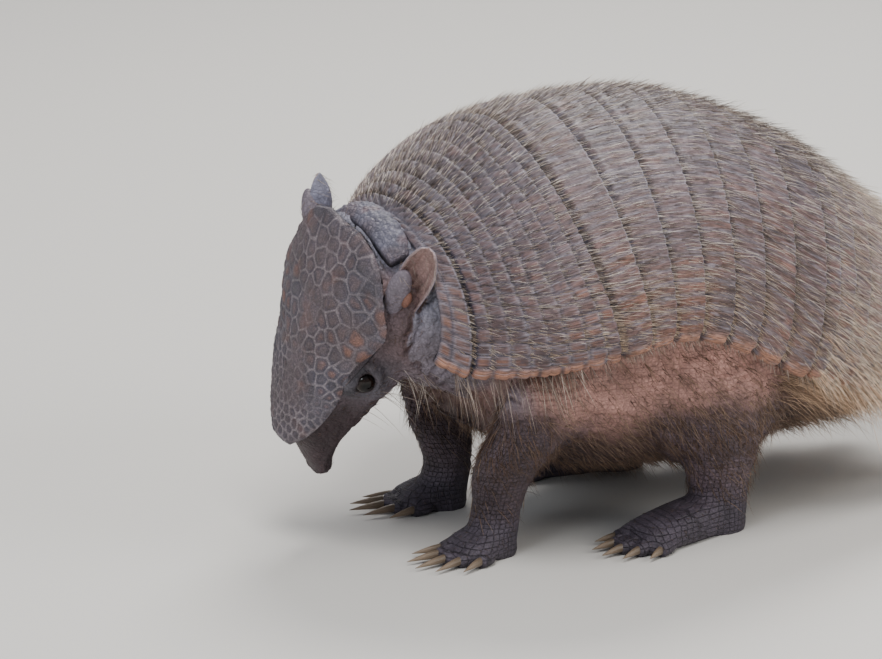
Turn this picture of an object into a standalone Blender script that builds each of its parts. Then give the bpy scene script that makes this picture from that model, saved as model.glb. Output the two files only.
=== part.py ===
"""A large hairy armadillo at life size, standing with its head bent down to the ground.

The animal looks along -X with its left side at -Y, and the soles of its feet lie at z = 0. The carapace is
one family of arched rings, counted by the distance along the crest of the back: the front band, the
scapular shield, seven movable bands and the pelvic shield are cut from it. The flesh lies inside that
family, so it can't meet the plates, and the legs, neck, ears and tail are trimmed where they meet it.
"""

import math

import bmesh
import bpy
from mathutils import Matrix, Vector

# ---------------------------------------------------------------- driving sizes, in metres
GAP = 0.0003  # between pieces that touch
LEFT = -1
RIGHT = 1

# The place of the row's origin, under the middle of the whole animal, in the modelling frame.
ROW_ORIGIN = Vector((0.108, 0.0, 0.0))

# Distances along the crest of the back, from the front edge of the front band.
SCAPULAR_START = 0.010
BANDS_START = 0.060
BAND_LENGTH = 0.0208
BAND_COUNT = 7
PELVIC_START = BANDS_START + BAND_COUNT * BAND_LENGTH
RUMP_END = 0.300

# The carapace at a few of those distances: crest x and z, rim x and z, half width at the rim, how far
# its arch stands behind its chord half way up, and how much it narrows to the crest: 1 is a round arch,
# and above 1 draws it in.
CARAPACE = [
    (0.000, -0.0640, 0.1325, -0.0655, 0.0850, 0.0475, 0.0030, 0.85),
    (SCAPULAR_START, -0.0570, 0.1385, -0.0535, 0.0790, 0.0535, 0.0030, 0.85),
    (0.034, -0.0365, 0.1525, -0.0320, 0.0820, 0.0750, -0.0020, 1.10),
    (BANDS_START, -0.0130, 0.1650, -0.0060, 0.0875, 0.0860, -0.0042, 1.20),
    (BANDS_START + 2 * BAND_LENGTH, 0.0285, 0.1700, 0.0160, 0.0910, 0.0860, -0.0042, 1.20),
    (BANDS_START + 4 * BAND_LENGTH, 0.0675, 0.1655, 0.0415, 0.0865, 0.0830, -0.0042, 1.20),
    (PELVIC_START, 0.1225, 0.1405, 0.0855, 0.0650, 0.0730, -0.0042, 1.20),
    (0.256, 0.1640, 0.1090, 0.1270, 0.0500, 0.0620, -0.0030, 1.15),
    (RUMP_END, 0.1920, 0.0760, 0.1620, 0.0440, 0.0440, 0.0, 1.05),
]
RIM_ANGLE = math.radians(108)  # round each arch from its crest to its rim
ARCH_HEIGHT_POWER = 1.35  # above 1 keeps the widest part low
ARCH_SEGMENTS = 18
PLATE_THICKNESS = 0.0042
BAND_STEP_UP = 0.0005  # how far the rear edge of each band stands out
BAND_TUCK = 0.0012  # how far its front edge lies under the one before it
EDGE_SHARE = 0.034  # of a band's length, left free at each of its ends

# The underside of the trunk at a few distances: height of the belly, half width under the rim.
TRUNK_START = 0.038
TRUNK_END = 0.2965
BELLY = [
    (TRUNK_START, 0.0420, 0.0540),
    (0.060, 0.0300, 0.0660),
    (0.110, 0.0210, 0.0740),
    (0.160, 0.0210, 0.0740),
    (PELVIC_START, 0.0250, 0.0690),
    (0.256, 0.0300, 0.0560),
    (TRUNK_END, 0.0420, 0.0380),
]
TRUNK_CLEARANCE = 0.0017  # between the trunk and the inside of the plates at the crest
TRUNK_RIM_CLEARANCE = 0.0024  # more of it at the rims
TRUNK_RINGS = 11
TRUNK_UPPER_SEGMENTS = 12
TRUNK_LOWER_SEGMENTS = 10
BELLY_SPREAD = 0.8  # below 1 makes the belly's section broader than an ellipse
BELLY_DEPTH = 0.75  # and deeper

# The neck: x, height of its middle, half width, half height.
NECK = [
    (-0.030, 0.0970, 0.0490, 0.0400),
    (-0.045, 0.0980, 0.0450, 0.0360),
    (-0.057, 0.0990, 0.0380, 0.0310),
    (-0.066, 0.1000, 0.0320, 0.0285),
    (-0.0755, 0.1030, 0.0245, 0.0255),
]
NECK_SEGMENTS = 16
NECK_FULLNESS = 0.92  # below 1 squares the section

# The head has its own frame, from the middle of its shield's rear edge: forward, left and up out of
# the shield.
HEAD_PLACE = Vector((-0.0800, -0.0050, 0.1325))
HEAD_PITCH = math.radians(82)
HEAD_ROLL = math.radians(16.8)
HEAD_YAW = math.radians(4)

# The head's flesh: forward, top, bottom, half width.
HEAD = [
    (0.010, -0.0065, -0.0190, 0.0200),
    (0.018, -0.0035, -0.0350, 0.0265),
    (0.030, -0.0015, -0.0420, 0.0298),
    (0.046, -0.0010, -0.0410, 0.0296),
    (0.058, -0.0015, -0.0390, 0.0270),
    (0.070, -0.0020, -0.0350, 0.0212),
    (0.082, -0.0025, -0.0302, 0.0160),
    (0.092, -0.0050, -0.0268, 0.0120),
    (0.100, -0.0115, -0.0262, 0.0090),
    (0.107, -0.0180, -0.0283, 0.0068),
]
HEAD_SEGMENTS = 16
HEAD_FULLNESS = 0.9
HEAD_BACK = 0.004  # how far the back of the head bulges behind its first section
NOSE_TIP = Vector((0.1125, 0.0, -0.0250))

# The head shield: forward, half width, height of its middle line, drop of its edge below that line.
HEAD_SHIELD = [
    (0.000, 0.0110, 0.0010, 0.0010),
    (0.004, 0.0210, 0.0020, 0.0030),
    (0.012, 0.0280, 0.0033, 0.0060),
    (0.022, 0.0325, 0.0042, 0.0085),
    (0.031, 0.0360, 0.0045, 0.0105),
    (0.039, 0.0335, 0.0044, 0.0095),
    (0.047, 0.0282, 0.0042, 0.0075),
    (0.055, 0.0250, 0.0037, 0.0062),
    (0.065, 0.0240, 0.0031, 0.0060),
    (0.078, 0.0190, 0.0022, 0.0048),
    (0.088, 0.0130, 0.0013, 0.0028),
    (0.095, 0.0060, 0.0006, 0.0012),
]
SHIELD_SEGMENTS = 10
SHIELD_THICKNESS = 0.0025
SHIELD_EDGE_POWER = 1.8  # above 1 keeps the shield flat in the middle and turns its edges down

EYE_RADIUS = 0.0047
EYE_PLACE = Vector((0.0566, 0.0232, -0.0132))  # of the left eye, in the head's frame

# Each ear's foot and tip, in the head's frame: the left one is swung back and out, the right one forward.
EAR_ENDS = {
    LEFT: (Vector((0.0256, 0.0296, -0.0160)), Vector((-0.0088, 0.0432, -0.0070))),
    RIGHT: (Vector((0.0246, -0.0300, -0.0168)), Vector((0.0008, -0.0400, -0.0095))),
}
EAR_OPENING = Vector((0.05, 0.65, 0.65))  # the way the left ear's hollow faces
EAR_RADIUS = 0.0060
EAR_FOOT_WIDTH = 0.65  # of that radius at the foot, and how much it swells half way up
EAR_SWELL = 0.45
EAR_CURL = math.radians(125)  # how far each edge is rolled round at the foot, and how much less at the tip
EAR_UNCURL = math.radians(40)
EAR_BLUNTNESS = 8  # higher keeps the ear wide nearer to its tip
EAR_THICKNESS = 0.0014
EAR_ROWS = 7
EAR_COLUMNS = 8
EAR_LOBE = Vector((0.0120, 0.0045, 0.0040))  # half sizes of the smooth lobe before the hollow
EAR_LOBE_PLACE = (0.30, 0.0006, 0.0046)  # as a share of the ear's length, out of the hollow, and ahead of it

# The nuchal band, across the neck behind the head shield.
NUCHAL_HALF_WIDTH = 0.027
NUCHAL_LENGTH = 0.0085
NUCHAL_DROP = 0.0105
NUCHAL_THICKNESS = 0.0030
NUCHAL_CREST = Vector((-0.0745, -0.0030, 0.1345))
NUCHAL_SLOPE = math.radians(15)
NUCHAL_LEAN = math.radians(40)  # of its ends, down round the neck
NUCHAL_RISE = 0.0012  # of its middle above its front and rear edges
NUCHAL_SWEEP = 0.001  # of its ends, backward
NUCHAL_SEGMENTS = 8

# The legs, from the top down: forward and outward of the ankle's place, height, half length, half width.
FORELEG = [
    (-0.0110, 0.0260, 0.0760, 0.0200, 0.0130),
    (-0.0080, 0.0230, 0.0640, 0.0200, 0.0160),
    (-0.0040, 0.0150, 0.0490, 0.0170, 0.0150),
    (0.0000, 0.0060, 0.0340, 0.0135, 0.0120),
    (0.0000, 0.0000, 0.0200, 0.0105, 0.0100),
    (0.0020, 0.0000, 0.0090, 0.0105, 0.0100),
    (0.0025, 0.0000, -0.0010, 0.0095, 0.0090),
]
HINDLEG = [
    (0.0150, 0.0190, 0.0720, 0.0170, 0.0110),
    (0.0120, 0.0170, 0.0610, 0.0240, 0.0155),
    (0.0070, 0.0090, 0.0460, 0.0215, 0.0165),
    (0.0010, 0.0030, 0.0310, 0.0165, 0.0135),
    (-0.0010, 0.0000, 0.0190, 0.0130, 0.0110),
    (-0.0010, 0.0000, 0.0090, 0.0125, 0.0105),
    (-0.0010, 0.0000, -0.0010, 0.0110, 0.0095),
]
LEG_SEGMENTS = 12

# The feet, from the ankle's place: forward, half width, height of the top.
FOREFOOT = [(-0.004, 0.0085, 0.0140), (0.006, 0.0105, 0.0135), (0.015, 0.0112, 0.0105), (0.020, 0.0100, 0.0085)]
HINDFOOT = [(-0.006, 0.0090, 0.0160), (0.012, 0.0108, 0.0155), (0.030, 0.0122, 0.0125), (0.043, 0.0115, 0.0095)]
FOOT_SEGMENTS = 10
FOOT_FULLNESS = 0.75
FOOT_DEPTH = 0.0012  # how far the feet are modelled below the floor before their soles are cut flat

# Longest toe, toe radius, spacing of the toes and longest claw.
TOES = {"fore": (0.0075, 0.0032, 0.0047, 0.0135), "hind": (0.0090, 0.0032, 0.0050, 0.0095)}
TOE_LENGTHS = (0.60, 0.90, 1.00, 0.88, 0.62)  # from the inner toe to the outer, as shares of the longest
TOE_SPREAD = math.radians(9)  # between neighbouring toes
TOE_ROOT = 0.004  # how far the middle toe starts inside the foot
TOE_STEP_BACK = 0.0012  # how much further back each toe starts, by the square of its rank from the middle
TOE_SECTIONS = ((0, 1, 0.9), (0.55, 1.05, 0.95), (0.9, 0.95, 0.85), (1.0, 0.7, 0.8))  # place, width, height
TOE_SEGMENTS = 6
CLAW_SEGMENTS = 5
CLAW_ROWS = 4
CLAW_ROOT = 0.62  # the claw's radius at its root, as a share of the toe's
CLAW_NARROW = 0.8  # its width to its depth
CLAW_TIP_HEIGHT = 0.0009
CLAW_BEND = 1.6  # above 1 holds the claw level at its root and bends it down at its tip

# Ankles, in the modelling frame, and the way the feet point out from straight forward.
FORE_ANKLE = {LEFT: Vector((-0.028, -0.032, 0.0)), RIGHT: Vector((-0.012, 0.034, 0.0))}
HIND_ANKLE = {LEFT: Vector((0.062, -0.0475, 0.0)), RIGHT: Vector((0.074, 0.0475, 0.0))}
FOOT_TURN = {"fore": math.radians(10), "hind": math.radians(12.5)}

# The tail's middle line and its radius.
TAIL = [
    (0.00, 0.1780, 0.0000, 0.0560, 0.0150),
    (0.20, 0.2020, 0.0000, 0.0470, 0.0138),
    (0.40, 0.2270, 0.0030, 0.0350, 0.0115),
    (0.60, 0.2530, 0.0070, 0.0240, 0.0090),
    (0.80, 0.2790, 0.0110, 0.0150, 0.0066),
    (1.00, 0.3060, 0.0140, 0.0090, 0.0042),
]
TAIL_RINGS = 9
TAIL_SEGMENTS = 12
TAIL_TIP = Vector((0.3117, 0.0146, 0.0082))

COLOURS = {
    "shell": ((0.235, 0.195, 0.175), 0.62),
    "head_shield": ((0.250, 0.205, 0.185), 0.60),
    "skin": ((0.120, 0.075, 0.062), 0.72),
    "leg_skin": ((0.070, 0.055, 0.060), 0.68),
    "ear": ((0.190, 0.120, 0.105), 0.60),
    "tail": ((0.150, 0.110, 0.090), 0.70),
    "eye": ((0.006, 0.005, 0.005), 0.08),
    "claw": ((0.180, 0.150, 0.120), 0.42),
}


# ---------------------------------------------------------------- curves and frames
def slope_at(keys, i):
    """How fast each value changes at key i, from its neighbours."""
    before = keys[max(i - 1, 0)]
    after = keys[min(i + 1, len(keys) - 1)]
    return [(b - a) / (after[0] - before[0]) for a, b in zip(before[1:], after[1:])]


def smooth(keys, t):
    """The values at t of a smooth curve through keys, each a place followed by its values."""
    i = max(0, min(len(keys) - 2, sum(key[0] <= t for key in keys) - 1))
    start, end = keys[i], keys[i + 1]
    span = end[0] - start[0]
    w = (t - start[0]) / span
    from_start = 2 * w**3 - 3 * w**2 + 1
    lead_out = (w**3 - 2 * w**2 + w) * span
    lead_in = (w**3 - w**2) * span
    return [
        from_start * a + (1 - from_start) * b + lead_out * da + lead_in * db
        for a, b, da, db in zip(start[1:], end[1:], slope_at(keys, i), slope_at(keys, i + 1))
    ]


def steps(start, end, count):
    """count + 1 even places from start to end."""
    return [start + (end - start) * i / count for i in range(count + 1)]


def middle_of(points):
    return sum(points, Vector()) / len(points)


def signed_power(value, power):
    return math.copysign(abs(value) ** power, value)


def head_axes():
    """The head's forward, left and upward directions."""
    turn = Matrix.Rotation(HEAD_YAW, 3, "Z") @ Matrix.Rotation(HEAD_ROLL, 3, "X") @ Matrix.Rotation(-HEAD_PITCH, 3, "Y")
    return [turn @ Vector(v) for v in ((-1, 0, 0), (0, -1, 0), (0, 0, 1))]


def on_head(point):
    """A point given in the head's frame, in the modelling frame."""
    forward, left, up = head_axes()
    return HEAD_PLACE + forward * point[0] + left * point[1] + up * point[2]


# ---------------------------------------------------------------- the carapace's rings
def carapace_line(distance, side):
    """The carapace's smooth outside, side -1 being the left rim, 0 the crest and 1 the right rim."""
    crest_x, crest_z, rim_x, rim_z, half_width, bow, narrowing = smooth(CARAPACE, distance)
    angle = side * RIM_ANGLE
    share = (math.cos(angle) - math.cos(RIM_ANGLE)) / (1 - math.cos(RIM_ANGLE))
    height = max(share, 0) ** ARCH_HEIGHT_POWER
    x = rim_x + (crest_x - rim_x) * height + bow * 4 * height * (1 - height)
    y = half_width * signed_power(math.sin(angle) / math.sin(RIM_ANGLE), narrowing)
    return Vector((x, y, rim_z + (crest_z - rim_z) * height))


def carapace_point(distance, side, lift):
    """The same, moved out along the surface's normal by lift."""
    nudge = 0.002
    along = carapace_line(distance + nudge, side) - carapace_line(distance - nudge, side)
    around = carapace_line(distance, side + nudge) - carapace_line(distance, side - nudge)
    return carapace_line(distance, side) + along.cross(around).normalized() * lift


# ---------------------------------------------------------------- building meshes
def start_scene():
    for item in list(bpy.data.objects):
        bpy.data.objects.remove(item)
    for group in list(bpy.data.collections):
        bpy.data.collections.remove(group)
    groups = {}
    for name in ("armadillo", "cutters"):
        groups[name] = bpy.data.collections.new(name)
        bpy.context.scene.collection.children.link(groups[name])
    root = bpy.data.objects.new("animal", None)
    root.location = -ROW_ORIGIN
    groups["armadillo"].objects.link(root)
    return groups, root


def make_materials():
    materials = {}
    for name, (colour, roughness) in COLOURS.items():
        material = bpy.data.materials.new(name)
        material.use_nodes = True
        shader = material.node_tree.nodes["Principled BSDF"]
        shader.inputs["Base Color"].default_value = (*colour, 1)
        shader.inputs["Roughness"].default_value = roughness
        shader.inputs["Metallic"].default_value = 0
        materials[name] = material
    return materials


def add_ring_faces(bm, rows):
    """Joins neighbouring closed rings of vertices with faces."""
    for near, far in zip(rows, rows[1:]):
        for i, vertex in enumerate(near):
            j = (i + 1) % len(near)
            bm.faces.new((vertex, near[j], far[j]))
            bm.faces.new((vertex, far[j], far[i]))


def loft(rings, start_pole=None, end_pole=None):
    """A closed form through rings of points. An end is drawn to its pole, or closed flat if it has none."""
    bm = bmesh.new()
    rows = [[bm.verts.new(point) for point in ring] for ring in rings]
    add_ring_faces(bm, rows)
    for row, pole in ((rows[0], start_pole), (rows[-1], end_pole)):
        if pole is None:
            bm.faces.new(row)
            continue
        tip = bm.verts.new(pole)
        for i, vertex in enumerate(row):
            bm.faces.new((vertex, row[(i + 1) % len(row)], tip))
    return bm


def plate(outer, inner):
    """A closed plate between two grids of points."""
    bm = bmesh.new()
    sheets = [[[bm.verts.new(point) for point in row] for row in grid] for grid in (outer, inner)]
    last_row, last_column = len(outer) - 1, len(outer[0]) - 1
    for sheet in sheets:
        for i in range(last_row):
            for j in range(last_column):
                bm.faces.new((sheet[i][j], sheet[i][j + 1], sheet[i + 1][j + 1], sheet[i + 1][j]))
    border = [(0, j) for j in range(last_column)]
    border += [(i, last_column) for i in range(last_row)]
    border += [(last_row, j) for j in range(last_column, 0, -1)]
    border += [(i, 0) for i in range(last_row, 0, -1)]
    for (i, j), (k, m) in zip(border, border[1:] + border[:1]):
        bm.faces.new((sheets[0][i][j], sheets[0][k][m], sheets[1][k][m], sheets[1][i][j]))
    return bm


class Builder:
    """Turns meshes into the animal's named objects."""

    def __init__(self):
        self.groups, self.root = start_scene()
        self.materials = make_materials()

    def add(self, name, bm, material, group="armadillo"):
        bmesh.ops.recalc_face_normals(bm, faces=bm.faces)
        mesh = bpy.data.meshes.new(name)
        bm.to_mesh(mesh)
        bm.free()
        mesh.shade_smooth()
        item = bpy.data.objects.new(name, mesh)
        item.parent = self.root
        item.data.materials.append(self.materials[material])
        self.groups[group].objects.link(item)
        return item

    def cutter(self, name, bm):
        item = self.add(name, bm, "skin", "cutters")
        item.hide_render = True
        item.display_type = "WIRE"
        return item

    def boolean(self, item, operand, operation):
        modifier = item.modifiers.new(f"{operation.lower()}_{operand.name}", "BOOLEAN")
        modifier.operation = operation
        modifier.solver = "EXACT"
        modifier.object = operand


# ---------------------------------------------------------------- the carapace
def arch_plate(distances, lifts):
    """A plate of the carapace through rings at these distances, its outside lifted by lifts."""
    sides = steps(-1, 1, ARCH_SEGMENTS)
    outer = [[carapace_point(d, side, lift) for side in sides] for d, lift in zip(distances, lifts)]
    inner = [[carapace_point(d, side, -PLATE_THICKNESS) for side in sides] for d in distances]
    return plate(outer, inner)


def add_carapace(builder):
    free = EDGE_SHARE * BAND_LENGTH
    builder.add(
        "front_band",
        arch_plate([0, SCAPULAR_START / 2, SCAPULAR_START - free], [-BAND_TUCK, 0, BAND_STEP_UP]),
        "shell",
    )
    scapular = steps(SCAPULAR_START + free, BANDS_START - free, 5)
    builder.add("scapular_shield", arch_plate(scapular, [-BAND_TUCK, 0, 0, 0, 0, BAND_STEP_UP]), "shell")
    for number in range(BAND_COUNT):
        start = BANDS_START + number * BAND_LENGTH
        places = [start + free, start + BAND_LENGTH / 3, start + BAND_LENGTH - free]
        builder.add(f"movable_band_{number + 1}", arch_plate(places, [-BAND_TUCK, 0, BAND_STEP_UP]), "shell")
    pelvic = steps(PELVIC_START + free, RUMP_END, 6)
    builder.add("pelvic_shield", arch_plate(pelvic, [-BAND_TUCK] + [0] * 6), "shell")


# ---------------------------------------------------------------- the trunk
def trunk_ring(distance, grow):
    """Up over the back inside the carapace, and down round the belly, made larger by grow."""
    lift = grow - PLATE_THICKNESS - TRUNK_CLEARANCE
    ring = []
    for side in steps(-1, 1, TRUNK_UPPER_SEGMENTS):
        ring.append(carapace_point(distance, side, lift - TRUNK_RIM_CLEARANCE * abs(side)))
    rim_x, _, rim_z = ring[-1]
    belly, half_width = smooth(BELLY, distance)
    for angle in steps(0, math.pi, TRUNK_LOWER_SEGMENTS)[1:-1]:
        y = (half_width + grow) * signed_power(math.cos(angle), BELLY_SPREAD)
        z = rim_z + (belly - grow - rim_z) * math.sin(angle) ** BELLY_DEPTH
        ring.append(Vector((rim_x, y, z)))
    return ring


def trunk_form(grow=0.0):
    places = steps(TRUNK_START - grow, TRUNK_END + grow, TRUNK_RINGS - 1)
    rings = [trunk_ring(place, grow) for place in places]
    return loft(rings, middle_of(rings[0]), middle_of(rings[-1]))


# ---------------------------------------------------------------- the neck
def neck_form(grow=0.0):
    rings = []
    for x, middle, half_width, half_height in NECK:
        ring = []
        for angle in steps(0, 2 * math.pi, NECK_SEGMENTS)[:-1]:
            y = (half_width + grow) * signed_power(math.cos(angle), NECK_FULLNESS)
            z = middle + (half_height + grow) * signed_power(math.sin(angle), NECK_FULLNESS)
            ring.append(Vector((x, y, z)))
        rings.append(ring)
    return loft(rings)


def nuchal_form(grow=0.0):
    """The short row of plates across the neck, made larger by grow."""
    along = Vector((math.cos(NUCHAL_SLOPE), 0, math.sin(NUCHAL_SLOPE)))
    out = Vector((-math.sin(NUCHAL_SLOPE), 0, math.cos(NUCHAL_SLOPE)))
    outer, inner = [], []
    for share in (0.0, 0.5, 1.0):
        rise = NUCHAL_RISE * math.sin(math.pi * share)
        start = (NUCHAL_LENGTH + 2 * grow) * share - grow
        outer_row, inner_row = [], []
        for side in steps(-1, 1, NUCHAL_SEGMENTS):
            offset = Vector((NUCHAL_SWEEP * side**2, (NUCHAL_HALF_WIDTH + grow) * side, -NUCHAL_DROP * side**2))
            base = NUCHAL_CREST + along * start + offset
            normal = (out + Vector((0, math.tan(side * NUCHAL_LEAN), 0))).normalized()
            outer_row.append(base + normal * (rise + grow))
            inner_row.append(base - normal * (NUCHAL_THICKNESS + grow))
        outer.append(outer_row)
        inner.append(inner_row)
    return plate(outer, inner)


# ---------------------------------------------------------------- the head
def head_form(grow=0.0):
    rings = []
    for forward, top, bottom, half_width in HEAD:
        middle = (top + bottom) / 2
        half_height = (top - bottom) / 2
        ring = []
        for angle in steps(0, 2 * math.pi, HEAD_SEGMENTS)[:-1]:
            left = (half_width + grow) * signed_power(math.cos(angle), HEAD_FULLNESS)
            up = middle + (half_height + grow) * signed_power(math.sin(angle), HEAD_FULLNESS)
            ring.append(on_head((forward, left, up)))
        rings.append(ring)
    tip = NOSE_TIP + Vector((grow, 0, 0))
    forward, top, bottom, _ = HEAD[0]
    back = Vector((forward - HEAD_BACK - grow, 0, (top + bottom) / 2))
    return loft(rings, on_head(back), on_head(tip))


def add_head_shield(builder):
    outer, inner = [], []
    for forward, half_width, middle, drop in HEAD_SHIELD:
        outer_row, inner_row = [], []
        for side in steps(-1, 1, SHIELD_SEGMENTS):
            up = middle - drop * abs(side) ** SHIELD_EDGE_POWER
            left = -half_width * side
            lean = SHIELD_EDGE_POWER * drop / half_width * signed_power(side, SHIELD_EDGE_POWER - 1)
            normal = Vector((0, -lean, 1)).normalized()
            place = Vector((forward, left, up))
            outer_row.append(on_head(place))
            inner_row.append(on_head(place - normal * SHIELD_THICKNESS))
        outer.append(outer_row)
        inner.append(inner_row)
    builder.add("head_shield", plate(outer, inner), "head_shield")


def eye_form(side, grow=0.0):
    bm = bmesh.new()
    bmesh.ops.create_uvsphere(bm, u_segments=10, v_segments=8, radius=EYE_RADIUS + grow)
    place = Vector((EYE_PLACE.x, -side * EYE_PLACE.y, EYE_PLACE.z))
    bmesh.ops.translate(bm, verts=bm.verts, vec=on_head(place))
    return bm


def ear_axes(side):
    """The ear's foot, its run from foot to tip, the way its hollow faces, and across it to its front."""
    foot, tip = EAR_ENDS[side]
    run = tip - foot
    axis = run.normalized()
    opening = EAR_OPENING * Vector((1, -side, 1))
    opening = (opening - axis * opening.dot(axis)).normalized()
    return foot, run, opening, axis.cross(opening) * side


def ear_form(side):
    """A leaf rolled round its long axis into a funnel that is open at one side."""
    foot, run, opening, across = ear_axes(side)
    grids = ([], [])
    for share in steps(0, 1, EAR_ROWS - 1):
        radius = EAR_RADIUS * (EAR_FOOT_WIDTH + EAR_SWELL * math.sin(math.pi * share**1.2))
        reach = (EAR_CURL - EAR_UNCURL * share) * math.sqrt(max(1 - share**EAR_BLUNTNESS, 0.03))
        rows = ([], [])
        for turn in steps(-1, 1, EAR_COLUMNS - 1):
            angle = turn * reach
            direction = across * math.sin(angle) - opening * math.cos(angle)
            for row, distance in zip(rows, (radius, radius - EAR_THICKNESS)):
                row.append(on_head(foot + run * share + direction * distance))
        for grid, row in zip(grids, rows):
            grid.append(row)
    return plate(*grids)


def ear_lobe(side):
    """The smooth swelling at the front of the ear's foot."""
    foot, run, opening, across = ear_axes(side)
    share, outward, ahead = EAR_LOBE_PLACE
    centre = foot + run * share + opening * outward + across * ahead
    bm = bmesh.new()
    bmesh.ops.create_uvsphere(bm, u_segments=10, v_segments=8, radius=1.0)
    for vertex in bm.verts:
        size = Vector(vertex.co[i] * EAR_LOBE[2 - i] for i in range(3))
        vertex.co = on_head(centre + opening * size.x + across * size.y + run.normalized() * size.z)
    return bm


def add_head(builder, trunk_cutter):
    head = builder.add("head", head_form(), "skin")
    neck = builder.add("neck", neck_form(), "skin")
    builder.add("nuchal_band", nuchal_form(), "shell")
    add_head_shield(builder)
    head_cutter = builder.cutter("cut_by_head", head_form(GAP))
    neck_cutter = builder.cutter("cut_by_neck", neck_form(GAP))
    nuchal_cutter = builder.cutter("cut_by_nuchal_band", nuchal_form(GAP))
    for flesh in (head, neck):
        builder.boolean(flesh, trunk_cutter, "DIFFERENCE")
        builder.boolean(flesh, nuchal_cutter, "DIFFERENCE")
    builder.boolean(neck, head_cutter, "DIFFERENCE")
    for side, word in ((LEFT, "left"), (RIGHT, "right")):
        builder.add(f"eye_{word}", eye_form(side), "eye")
        socket = builder.cutter(f"socket_{word}", eye_form(side, GAP))
        builder.boolean(head, socket, "DIFFERENCE")
        ear = builder.add(f"ear_{word}", ear_form(side), "ear")
        lobe = builder.cutter(f"ear_lobe_{word}", ear_lobe(side))
        builder.boolean(ear, lobe, "UNION")
        builder.boolean(ear, head_cutter, "DIFFERENCE")
        builder.boolean(ear, neck_cutter, "DIFFERENCE")


# ---------------------------------------------------------------- the legs
def leg_column(keys, ankle, side):
    rings = []
    for forward, outward, height, half_length, half_width in keys:
        ring = []
        for angle in steps(0, 2 * math.pi, LEG_SEGMENTS)[:-1]:
            x = ankle.x - forward + half_length * math.cos(angle)
            y = ankle.y + side * (outward + half_width * math.sin(angle))
            ring.append(Vector((x, y, height)))
        rings.append(ring)
    return loft(rings)


def foot_frame(ankle, side, turn):
    """The foot's own frame: forward, outward and up from the ankle's place on the floor."""
    forward = Vector((-math.cos(turn), side * math.sin(turn), 0))
    outward = Vector((math.sin(turn), side * math.cos(turn), 0))

    def place(point):
        return ankle + forward * point[0] + outward * point[1] + Vector((0, 0, point[2]))

    return place


def foot_form(keys, place):
    rings = []
    for forward, half_width, top in keys:
        middle = (top - FOOT_DEPTH) / 2
        ring = []
        for angle in steps(0, 2 * math.pi, FOOT_SEGMENTS)[:-1]:
            outward = half_width * signed_power(math.cos(angle), FOOT_FULLNESS)
            up = middle + (middle + FOOT_DEPTH) * signed_power(math.sin(angle), FOOT_FULLNESS)
            ring.append(place((forward, outward, up)))
        rings.append(ring)
    return loft(rings)


def toe_lines(ball, toe_length, spacing):
    """Where each toe starts and ends, in the foot's frame, from the inner toe to the outer."""
    lines = []
    for number, share in enumerate(TOE_LENGTHS):
        rank = number - 2
        turn = rank * TOE_SPREAD
        start = Vector((ball - TOE_ROOT - TOE_STEP_BACK * rank**2, rank * spacing, 0))
        lines.append((start, Vector((math.cos(turn), math.sin(turn), 0)), toe_length * share + TOE_ROOT))
    return lines


def toe_form(line, radius, place):
    start, direction, length = line
    across = Vector((-direction.y, direction.x, 0))
    rings = []
    for share, size, height in TOE_SECTIONS:
        centre = start + direction * (length * share) + Vector((0, 0, radius * height))
        ring = []
        for angle in steps(0, 2 * math.pi, TOE_SEGMENTS)[:-1]:
            offset = across * math.cos(angle) + Vector((0, 0, math.sin(angle)))
            ring.append(place(centre + offset * (radius * size)))
        rings.append(ring)
    return loft(rings)


def claw_form(line, toe_radius, length, place):
    """A curved claw that starts just off the end of its toe and comes down to the floor."""
    start, direction, toe_length = line
    across = Vector((-direction.y, direction.x, 0))
    base = start + direction * (toe_length + GAP) + Vector((0, 0, toe_radius * 0.8))
    rings = []
    for share in steps(0, 0.75, CLAW_ROWS - 1):
        size = toe_radius * CLAW_ROOT * (1 - share**1.5)
        drop = (base.z - size - CLAW_TIP_HEIGHT) * share**CLAW_BEND
        centre = base + direction * (length * share) - Vector((0, 0, drop))
        ring = []
        for angle in steps(0, 2 * math.pi, CLAW_SEGMENTS)[:-1]:
            offset = across * (math.cos(angle) * CLAW_NARROW) + Vector((0, 0, math.sin(angle)))
            ring.append(place(centre + offset * size))
        rings.append(ring)
    tip = base + direction * length
    tip.z = CLAW_TIP_HEIGHT
    return loft(rings, None, place(tip))


def add_leg(builder, kind, side, trunk_cutter, floor_cutter):
    word = "left" if side == LEFT else "right"
    fore = kind == "fore"
    ankle = (FORE_ANKLE if fore else HIND_ANKLE)[side]
    place = foot_frame(ankle, side, FOOT_TURN[kind])
    ball = (FOREFOOT if fore else HINDFOOT)[-1][0]
    toe_length, toe_radius, spacing, claw_length = TOES[kind]
    leg = builder.add(f"{kind}leg_{word}", leg_column(FORELEG if fore else HINDLEG, ankle, side), "leg_skin")
    foot = builder.cutter(f"{kind}foot_{word}", foot_form(FOREFOOT if fore else HINDFOOT, place))
    builder.boolean(leg, foot, "UNION")
    for number, line in enumerate(toe_lines(ball, toe_length, spacing), start=1):
        toe = builder.cutter(f"{kind}toe_{word}_{number}", toe_form(line, toe_radius, place))
        builder.boolean(leg, toe, "UNION")
        length = claw_length * (0.55 + 0.45 * TOE_LENGTHS[number - 1])
        builder.add(f"claw_{kind}_{word}_{number}", claw_form(line, toe_radius, length, place), "claw")
    builder.boolean(leg, trunk_cutter, "DIFFERENCE")
    builder.boolean(leg, floor_cutter, "DIFFERENCE")


def floor_block():
    """Everything below the floor."""
    bm = bmesh.new()
    bmesh.ops.create_cube(bm, size=1.0)
    bmesh.ops.translate(bm, verts=bm.verts, vec=(0, 0, -0.5))
    return bm


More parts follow.
